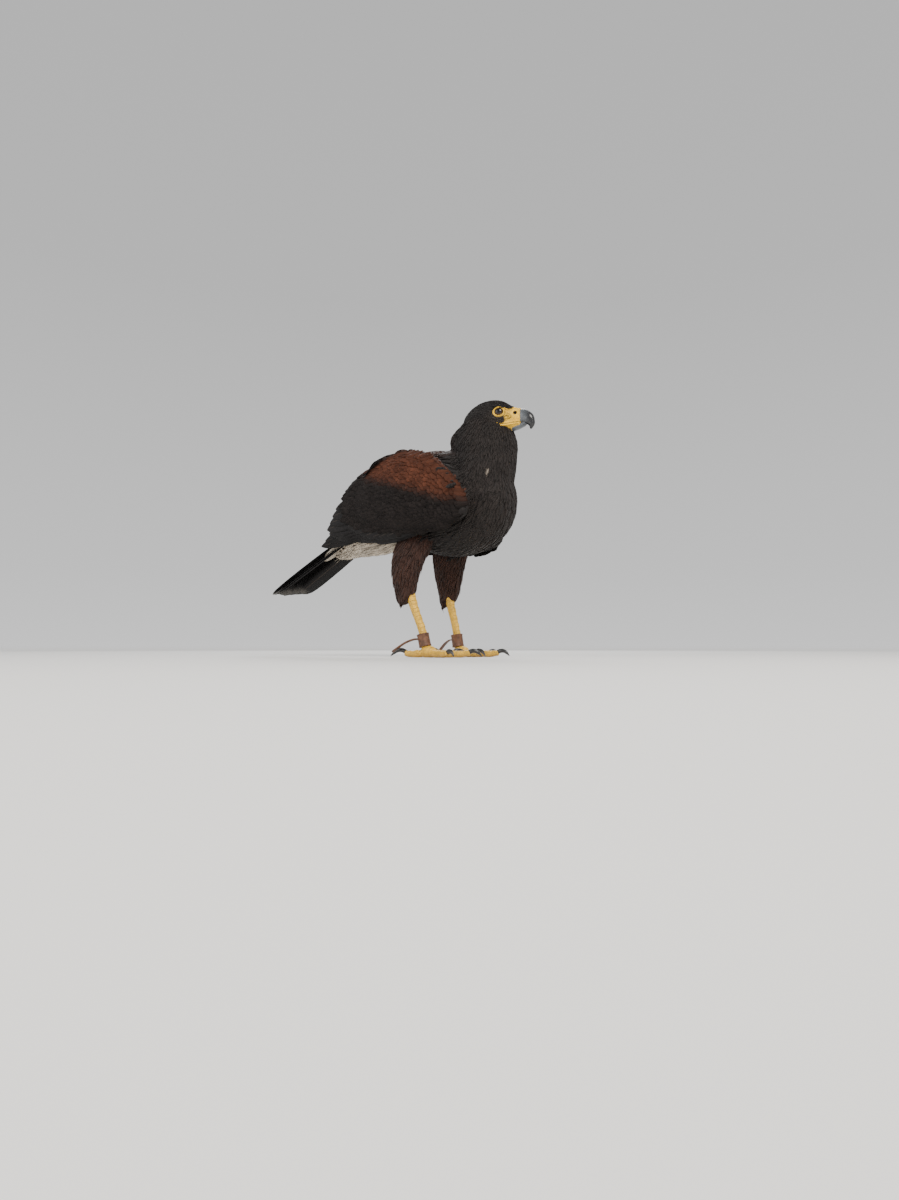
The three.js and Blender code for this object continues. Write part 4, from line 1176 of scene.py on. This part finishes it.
def wingFeathers(name, side):
    flightPiece(f"secondaries_{name}", side, longRow("secondaries"), flightColour,
                nodes=[f"wing_{name}"])
    flightPiece(f"primaries_{name}", side, primaryRow(side), flightColour)
    flightPiece(f"greaterCoverts_{name}", side, longRow("greaterCoverts"), flightColour)
    flightPiece(f"medianCoverts_{name}", side, longRow("medianCoverts"),
                lambda centre: markings(centre, "shield"), covertFeather)
    lesserCoverts(name, side)
    flightPiece(f"thumbFeathers_{name}", side, thumbRow(), flightColour)


# Scapulars over the back and the wing's root, as (first and last root x, y, z, count, length, half width,
# cling)
scapularRows = [
    (2, -40, 11, 250, 9, 36, 6.0, 0.6), (4, -46, 18, 248, 10, 42, 6.6, 0.6),
    (8, -54, 25, 246, 11, 46, 7.2, 0.6), (2, -58, 32, 242, 9, 52, 8.0, 0.7),
]
# Ruffled innermost flight feathers behind them, as (root x, y, z, length, half width)
tertials = [(-36, 35, 236, 76, 10), (-44, 32, 235, 78, 10), (-50, 28, 233, 74, 9.5), (-56, 24, 230, 78, 9.5),
            (-62, 19, 226, 70, 9), (-66, 13, 223, 72, 8.5), (-70, 6, 221, 62, 8.5)]


def scapulars(name, side):
    about = []
    for first, last, y, z, count, length, half, cling in scapularRows:
        for x in np.linspace(first, last, count):
            root = x + jitter(2), y + jitter(2), z
            about.append((*root, length + jitter(4), half, rng.uniform(1.6, 2.4), cling))
    for x, y, z, length, half in tertials:
        about.append((x, y, z, length + jitter(5), half, rng.uniform(2, 5), 0.9))
    kept = []
    for x, y, z, length, half, rise, cling in about:
        way = unit([[-1, side * rng.uniform(-0.02, 0.14), -0.24 - 0.16 * (cling > 0.8)]])
        centre, up = layFeathers([(x, side * y, z)], way, [length], longVane["shares"], 0.6, [rise], cling)
        if laysWell(centre, way, np.array([length / 0.8]))[0]:
            kept.append((centre[0], up[0], half * longVane["widths"]))
    centre, up, half = (np.array(part) for part in zip(*kept))
    colours = mix(markings(centre, "torso"), plume["rufous"], 0.3 * ease(-90, -30, centre[..., 0]))
    colours = colours * rng.uniform(0.8, 1.2, (len(kept), 1, 1))
    stampFeathers(f"scapulars_{name}", longVane, centre, up, half, 0.4, 0.1, colours, bodyFeather)


for name, side in birdSides.items():
    wingFeathers(name, side)
for name, side in birdSides.items():
    scapulars(name, side)
print("wings feathered")


def tailFeathers():
    middle = (tail["count"] - 1) / 2
    shares = longVane["shares"]
    centre, half = [], []
    for k in range(tail["count"]):
        off = k - middle
        outer = abs(off) - 0.5
        length = tail["length"] - tail["rounding"] * (outer / 5)**2 + rng.uniform(-1.5, 1.5)
        lift = 2.6 - outer * 1.05 - 0.26 * outer**2 - (0 if off > 0 else 0.5)
        across = off * 1.9 + off * 1.7 * shares
        centre.append(onTail(6 + (length - 6) * shares, across, lift - 3 * shares**2))
        half.append(12.2 * bluntVane["widths"])
    centre, half = np.array(centre), np.array(half)
    roll = (np.arange(tail["count"]) - middle)[:, None, None] * np.array([0, 0.13, 0])
    up = unit(tailUp + np.broadcast_to(roll, centre.shape))
    along = np.broadcast_to(shares[None, :], half.shape)
    colours = np.broadcast_to(plume["flight"], centre.shape)
    colours = mix(colours, plume["pale"] * 0.8, ease(0.22, 0.14, along))
    colours = mix(colours, plume["tailTip"], ease(0.95, 0.98, along))
    stampFeathers("tailFeathers", bluntVane, centre, up, half, 0.55, 0.05, colours, flightFeather,
                  nodes=["tail"])


tailFeathers()


# Long soft feathers over and under the tail's root. The under rows are (place along, count, length, drop).
tailCovertLook = {
    "under": [(30, 9, 60, 21), (44, 10, 56, 17), (58, 10, 52, 13.5), (70, 9, 50, 11)],
    "underHalf": 6.2,
    "upper": 9,
    "upperHalf": 6.5,
    "upperLength": 54,
}


def tailCoverts():
    look = tailCovertLook
    shares = longVane["shares"]
    kept = []
    for row, (along, count, length, drop) in enumerate(look["under"]):
        for off in np.arange(count) / (count - 1) * 2 - 1:
            sag = -drop + 5 * off**2 * (1 - shares) + (drop - 4.5 - 6 * off**2) * shares**1.3
            line = onTail(along + length * shares, off * (16 - row), sag)
            kept.append((line, unit(-tailUp + np.array([0, off * 0.7, 0])), look["underHalf"]))
    for off in np.arange(look["upper"]) / (look["upper"] - 1) * 2 - 1:
        line = onTail(4 + look["upperLength"] * shares, off * (12 + 4 * shares),
                      10 - 3 * off**2 - (5.2 + 3 * off**2) * shares**1.2)
        kept.append((line, unit(tailUp + np.array([0, off * 0.5, 0])), look["upperHalf"]))
    centre, up, half = (np.array(part) for part in zip(*kept))
    centre = centre + rng.normal(0, 0.6, (len(centre), 1, 3))
    up = np.broadcast_to(up[:, None], centre.shape)
    half = half[:, None] * longVane["widths"]
    colours = np.broadcast_to(plume["pale"], centre.shape) * rng.uniform(0.78, 1.1, (len(centre), 1, 1))
    stampFeathers("tailCoverts", longVane, centre, up, half, 0.4, 0.12, colours, bodyFeather)


tailCoverts()
print("tail feathered")

# Eyes
eyeLook = {"iris": 5.5, "pupil": 2.7, "brown": (0.032, 0.0125, 0.005), "black": (0.002, 0.002, 0.002)}


def eyeMaterial(name, centre):
    material, tree, shader = newMaterial(name, (0.03, 0.013, 0.006), 0.04, Coat_Weight=0.15,
                                         Specular_IOR_Level=0.35)
    place = node(tree, "TexCoord").outputs["Object"]
    away = node(tree, "VectorMath", operation="DISTANCE")
    tree.links.new(place, away.inputs[0])
    away.inputs[1].default_value = centre
    rings = math2(tree, "MULTIPLY", away.outputs["Value"], 100.0)  # the distance in centimetres
    edge = eyeLook["pupil"] / 10
    pupil = ramp(tree, rings, [(edge - 0.01, 0.0), (edge + 0.01, 1.0)])
    edge = eyeLook["iris"] / 10
    white = ramp(tree, rings, [(edge - 0.03, 1.0), (edge + 0.05, 0.25)])
    fibres = ramp(tree, objectNoise(tree, 1500.0, 2.0), [(0.35, 0.6), (0.65, 1.3)])
    iris = mixColour(tree, "MULTIPLY", 1.0, eyeLook["brown"], fibres)
    colour = mixColour(tree, "MIX", pupil, eyeLook["black"], iris)
    tree.links.new(mixColour(tree, "MULTIPLY", 1.0, colour, white), shader.inputs["Base Color"])
    return material


for name, side in birdSides.items():
    bm = bmesh.new()
    middle = np.array(eye["at"]) * (1, side, 1)
    for vert in addBall(bm, 48, 32)[0]:
        out = unit(np.array(vert.co)) @ eyeAxis[side]
        swell = 1 + 0.05 * float(ease(0.72, 0.95, out))
        vert.co = vert.co * eye["radius"] * swell + Vector(middle)
    front = toFrame(middle + eyeAxis[side] * eye["radius"])
    dress(finishMesh(f"eyeball_{name}", bm), eyeMaterial(f"eye_{name}", front), [f"eye_{name}"])

# Bill
bill = {
    "upper": [(97, 0, 278.6), (102, 0, 278.4), (107.5, 0, 276.4), (112, 0, 272.2), (114, 0, 267),
              (113, 0, 261.5)],
    "upperRadii": [(0, 6.2), (0.2, 6.6), (0.5, 5.6), (0.75, 3.4), (0.92, 1.5), (1, 0.4)],
    "lower": [(84, 0, 266), (92, 0, 266.4), (100, 0, 267.6), (106, 0, 269.2), (109, 0, 270.2)],
    "lowerRadii": [(0, 6), (0.3, 5.8), (0.65, 4.3), (0.9, 2.4), (1, 1)],
}
billShade = float(toFrame([100, 0, 0])[0]), float(toFrame([113, 0, 0])[0])
hornLook = hornMaterial("billHorn", (0.115, 0.13, 0.145), (0.012, 0.012, 0.014), *billShade)


def culmen(share, angle):  # narrows the upper bill over its ridge
    return 1 - 0.12 * np.maximum(0, np.cos(2 * angle)) * (1 - share)


bm = bmesh.new()
addRod(bm, bill["upper"], bill["upperRadii"], flat=1.32, sides=32, rows=40, scale=culmen)
dress(fuse(finishMesh("upperBill", bm), **hornFuse), hornLook, ["bill_upper"])
bm = bmesh.new()
addRod(bm, bill["lower"], bill["lowerRadii"], flat=0.62, sides=24, rows=30)
dress(fuse(finishMesh("lowerBill", bm), **hornFuse), hornLook, ["bill_lower"])
print("eyes and bill ready")

# Legs
foot = {"pad": 8.5, "toe": 4.1, "tarsus": 4.5, "plates": 12, "shankPlate": 4.8, "toePlate": 3.1,
        "nearFloorTone": np.array([0.5, 0.3, 0.08])}
toes = [
    {"name": "1", "turn": 170, "length": 22, "claw": 24},
    {"name": "2", "turn": 32, "length": 25, "claw": 20},
    {"name": "3", "turn": 0, "length": 41, "claw": 17},
    {"name": "4", "turn": -44, "length": 31, "claw": 14},
]


def toeLine(leg, toe, steps):
    x, y = leg["foot"]
    turn = math.radians(leg["turn"] - leg["side"] * toe["turn"])
    return [(x + math.cos(turn) * reach, y + math.sin(turn) * reach, height) for reach, height in steps]


def plateScale(count, depth):
    def scale(share, angle):
        wave = (share * count) % 1
        front = np.clip(np.sin(angle), 0, 1)
        return 1 + depth * front * ease(0.0, 0.25, wave) * ease(1.0, 0.55, wave)
    return scale


def toeScale(share, angle):
    pads = np.cos(share * math.pi * 3)**2 * np.clip(-np.sin(angle), 0, 1)
    wave = (share * 14) % 1
    return 1 + 0.16 * pads + 0.08 * np.clip(np.sin(angle), 0, 1) * ease(0, 0.3, wave) * ease(1, 0.5, wave)


# How many plates along, and how much of a plate, each point is. The lines are (points, plate length,
# front).
def addPlates(mesh, points, lines):
    nearest = np.full(len(points), 1e9)
    plates = np.zeros((len(points), 3))
    for line, length, front in lines:
        steps = curvePoints(line, np.linspace(0, 1, 60))
        run = np.concatenate([[0], np.cumsum(np.linalg.norm(np.diff(steps, axis=0), axis=1))])
        apart = np.linalg.norm(points[:, None] - steps[None], axis=2)
        best = apart.argmin(1)
        picked = np.arange(len(points))
        close = apart[picked, best] < nearest
        ahead = unit(np.gradient(steps, axis=0))[best]
        off = points - steps[best]
        place = run[best] + np.einsum("ij,ij->i", off, ahead)
        facing = np.einsum("ij,j->i", unit(off), unit(front))
        nearest[close] = apart[picked, best][close]
        plates[close] = np.stack([place / length + 20, ease(0.35, 0.6, facing), 0 * place], -1)[close]
    layer = mesh.attributes.new("plates", "FLOAT_VECTOR", "POINT")
    layer.data.foreach_set("vector", plates.ravel())


# The shank's middle line, from the hock down to the foot
def shankLine(leg):
    footX, footY = leg["foot"]
    hockX, hockY, hockZ = leg["hock"]
    return [(hockX, hockY, hockZ), (hockX + (footX - hockX) * 0.3, hockY, hockZ * 0.7),
            (hockX + (footX - hockX) * 0.66, footY, hockZ * 0.38), (footX - 4, footY, foot["pad"] + 2),
            (footX - 2, footY, foot["pad"] - 5)]


def legPiece(name, leg):
    footX, footY = leg["foot"]
    bm = bmesh.new()
    line = shankLine(leg)
    radii = [(0, 5.6), (0.12, 5.2), (0.4, foot["tarsus"]), (0.8, foot["tarsus"] + 0.2), (1, 6)]
    addRod(bm, line, radii, sides=40, rows=140, scale=plateScale(foot["plates"], 0.13))
    for vert in addBall(bm, 32, 24)[0]:
        x, y, z = vert.co
        vert.co = Vector((x * 10 + footX, y * 8.5 + footY, z * 7.5 + foot["pad"] - 2))
    for toe in toes:
        length = toe["length"]
        steps = [(2, 5.2), (8 + length * 0.22, 4.3), (8 + length * 0.5, 4), (8 + length * 0.8, 4.2),
                 (8 + length, 5.4)]
        radii = [(0, foot["toe"]), (0.25, foot["toe"]), (0.7, foot["toe"] * 0.86), (0.94, foot["toe"] * 0.8),
                 (1, 2.2)]
        addRod(bm, toeLine(leg, toe, steps), radii, sides=32, rows=90, scale=toeScale)
    made = fuse(finishMesh(f"leg_{name}", bm), **legFuse)
    for vert in made.data.vertices:  # the soles are flat on the floor
        if vert.co.z < 0:
            vert.co.z = 0
    points = meshPoints(made.data) * 1000 - birdShift
    lines = [(line, foot["shankPlate"], (0.9, leg["side"] * 0.2, 0.25))]
    for toe in toes:
        lines.append((toeLine(leg, toe, [(4, 5), (8 + toe["length"], 4.5)]), foot["toePlate"], (0, 0, 1)))
    addPlates(made.data, points, lines)
    # The feet turn darker and browner towards the floor, fully within 1 mm of it and fading out by 5.5 mm
    nearFloorTone = 0.6 * ease(5.5, 1.0, points[:, 2])
    addColours(made.data, mix(np.broadcast_to(plume["yellow"], points.shape), foot["nearFloorTone"], nearFloorTone))
    dress(made, legLook, [f"tarsus_{name}", f"foot_{name}"])


def clawPiece(name, leg):
    bm = bmesh.new()
    for toe in toes:
        start, reach, rise = 8 + toe["length"], toe["claw"] * 0.8, toe["claw"] * 0.2
        steps = [(start - 4, 5), (start + reach * 0.18, 5.6 + rise * 0.6),
                 (start + reach * 0.52, 5.4 + rise * 0.5), (start + reach * 0.8, 4.4), (start + reach, 1.1)]
        radii = [(0, 2.0), (0.25, 2.4), (0.6, 1.8), (0.85, 0.9), (1, 0.2)]
        addRod(bm, toeLine(leg, toe, steps), radii, flat=1.15)
    claws = finishMesh(f"claws_{name}", bm)
    dress(claws, clawLook, [f"claw_{toe['name']}_{name}" for toe in toes])


legLook = legMaterial()
clawLook = hornMaterial("clawHorn", (0.035, 0.032, 0.03), (0.012, 0.011, 0.01), 0.0, 0.01, axis=2)
for name, leg in legs.items():
    legPiece(name, leg)
    clawPiece(name, leg)
print("legs ready")

# Leather bands
anklet = {
    "height": 20,
    "radius": 6.9,
    "profile": [(-1.4, -7.0), (-0.6, -7.8), (0.4, -7.6), (0.5, -6.6), (0.15, -5.6), (0.1, 0), (0.15, 5.6),
                (0.5, 6.6), (0.4, 7.6), (-0.6, 7.8), (-1.4, 7.0)],
    "strap": [(-5, 0, 1), (-12, 3, 1), (-21, 8, -3), (-29, 12, -9), (-35, 15, -14)],
    "strapHalf": [(0, 2.4), (0.3, 2.9), (0.9, 3.2), (1, 2.6)],
    "strapThick": 0.7,
}


def leatherMaterial():
    material, tree, shader = newMaterial("strapLeather", (0.09, 0.04, 0.02), 0.55, Specular_IOR_Level=0.4)
    grey = ramp(tree, objectNoise(tree, 260.0, 5.0), [(0.3, 0.55), (0.7, 1.5)])
    tree.links.new(mixColour(tree, "MULTIPLY", 1.0, (0.12, 0.052, 0.026), grey), shader.inputs["Base Color"])
    addBump(tree, shader, objectNoise(tree, 1400.0, 4.0), 0.4, 0.0003)
    return material


# A flat strap with rounded corners along a curve
def addStrap(bm, line):
    verts, share, angle, pole = addBall(bm, 24, 40)
    ahead = unit(curvePoints(line, share + 0.02) - curvePoints(line, share - 0.02))
    across = unit(np.cross(np.array([-0.6, 0, 1]), ahead))
    up = np.cross(ahead, across)
    full = np.where(pole, 0, 1)  # the strap closes to a point at its two ends
    half = graph(anklet["strapHalf"])(share) * full
    rim = np.sign(np.cos(angle)) * np.abs(np.cos(angle))**0.35
    face = np.sign(np.sin(angle)) * np.abs(np.sin(angle))**0.35
    placeVerts(verts, curvePoints(line, share) + across * (rim * half)[:, None]
               + up * (face * anklet["strapThick"] * full)[:, None])


def ankletPiece(name, leg):
    high, low = shankLine(leg)[2:4]
    slope = (high[0] - low[0]) / (high[2] - low[2])
    lean = math.atan(slope)
    centre = Vector((low[0] + slope * (anklet["height"] - low[2]), low[1], anklet["height"]))
    bm = bmesh.new()
    verts = [bm.verts.new((anklet["radius"] + r, 0, z)) for r, z in anklet["profile"]]
    edges = [bm.edges.new(pair) for pair in zip(verts, verts[1:] + verts[:1])]
    bmesh.ops.spin(bm, geom=verts + edges, cent=(0, 0, 0), axis=(0, 0, 1), angle=2 * math.pi, steps=48,
                   use_merge=True, use_duplicate=False)
    for vert in bm.verts:
        x, y, z = vert.co
        ahead = x * math.cos(lean) + z * math.sin(lean)
        vert.co = Vector((ahead, y, z * math.cos(lean) - x * math.sin(lean))) + centre
    addStrap(bm, [(x + centre.x, leg["side"] * y + centre.y, z + centre.z) for x, y, z in anklet["strap"]])
    dress(finishMesh(f"anklet_{name}_leather", bm), leatherLook, [f"anklet_{name}"])


leatherLook = leatherMaterial()
for name, leg in legs.items():
    ankletPiece(name, leg)
print("anklets ready")

# Floor, light and camera
studio = {
    "floor": 20000,
    "glow": [(0.07, 0.0), (0.35, 0.33)],  # far off, by tens of metres, the floor is as light as the sky
    "sky": [(0.0, 0.9), (0.1, 0.8), (0.45, 0.63), (1.0, 0.58)],  # from the horizon up
    "lamps": {
        "key": {"off": (1.1, -0.9, 1.0), "size": 0.7, "power": 26, "tint": (1, 0.96, 0.9)},
        "fill": {"off": (-0.7, -1.4, 0.5), "size": 1.2, "power": 10, "tint": (1, 1, 1)},
        "rim": {"off": (-0.6, 1.2, 1.1), "size": 0.8, "power": 16, "tint": (1, 1, 1)},
    },
}


def addFloor():
    material, tree, shader = newMaterial("paleFloor", (0.84, 0.83, 0.81), 0.8)
    away = node(tree, "VectorMath", operation="LENGTH")
    tree.links.new(node(tree, "TexCoord").outputs["Object"], away.inputs[0])
    glow = ramp(tree, math2(tree, "DIVIDE", away.outputs["Value"], 10.0), studio["glow"])
    tree.links.new(glow, shader.inputs["Emission Strength"])
    shader.inputs["Emission Color"].default_value = (1, 1, 1, 1)
    bm = bmesh.new()
    bmesh.ops.create_grid(bm, x_segments=2, y_segments=2, size=studio["floor"])
    floor = finishMesh("floor", bm, smooth=False)
    floor.data.materials.append(material)
    floor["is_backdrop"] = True


def addSky():
    world = bpy.data.worlds.new("studio")
    world.use_nodes = True
    tree = world.node_tree
    height = axes(tree, node(tree, "TexCoord").outputs["Generated"])["Z"]
    tree.links.new(ramp(tree, height, studio["sky"]), tree.nodes["Background"].inputs[0])
    bpy.context.scene.world = world


def addLamp(name, middle, look):
    lamp = bpy.data.lights.new(name, "AREA")
    lamp.size = look["size"]
    lamp.energy = look["power"]
    lamp.color = look["tint"]
    made = bpy.data.objects.new(name, lamp)
    made.location = middle + Vector(look["off"])
    made.rotation_mode = "QUATERNION"
    made.rotation_quaternion = (-Vector(look["off"])).to_track_quat("-Z", "Y")
    bpy.context.scene.collection.objects.link(made)


addFloor()
addSky()
for name, look in studio["lamps"].items():
    addLamp(name, Vector(toFrame([-60, 0, 170])), look)

# The camera's place is in degrees and metres, the photo's frame and the bird's place in it in pixels
shot = {"azimuth": 33.0, "distance": 0.88, "height": 0.012, "target": [-70, 0, 150], "sensor": 36,
        "photo": (899, 1200), "birdX": (273, 535), "birdY": (410, 648)}


# The camera stands just over the floor, and frames the bird where the photo has it
def addCamera():
    turn = math.radians(shot["azimuth"])
    width, height = shot["photo"]
    aim = Vector(toFrame(shot["target"]))
    place = aim + Vector((math.sin(turn), -math.cos(turn), 0)) * shot["distance"]
    place.z = shot["height"]
    camera = bpy.data.objects.new("camera", bpy.data.cameras.new("camera"))
    bpy.context.scene.collection.objects.link(camera)
    bpy.context.scene.camera = camera
    camera.location = place
    camera.rotation_mode = "QUATERNION"
    camera.data.sensor_fit = "AUTO"
    camera.data.clip_start = 0.005
    points = np.vstack([meshPoints(piece.data)[::7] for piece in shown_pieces() if piece.type == "MESH"])

    def seen(lens, direction):
        turned = direction.to_track_quat("-Z", "Y")
        local = (points - np.array(place)) @ np.array(turned.to_matrix())
        pixels = lens / shot["sensor"] * height
        u = width / 2 + local[:, 0] / -local[:, 2] * pixels
        v = height / 2 - local[:, 1] / -local[:, 2] * pixels
        return turned, u.min(), u.max(), v.min(), v.max()

    lens = 50.0
    right = Vector((math.cos(turn), math.sin(turn), 0))
    for _ in range(40):
        turned, left, far, top, low = seen(lens, aim - place)
        lens *= (shot["birdX"][1] - shot["birdX"][0]) / (far - left)
        turned, left, far, top, low = seen(lens, aim - place)
        scale = shot["distance"] / (lens / shot["sensor"] * height)
        aim += right * ((left + far) / 2 - sum(shot["birdX"]) / 2) * scale
        aim.z += (sum(shot["birdY"]) / 2 - (top + low) / 2) * scale
    turned, left, far, top, low = seen(lens, aim - place)
    camera.rotation_quaternion = turned
    camera.data.lens = lens
    print("camera lens", round(lens, 1), "bird spans", [round(v) for v in (left, far, top, low)])


addCamera()
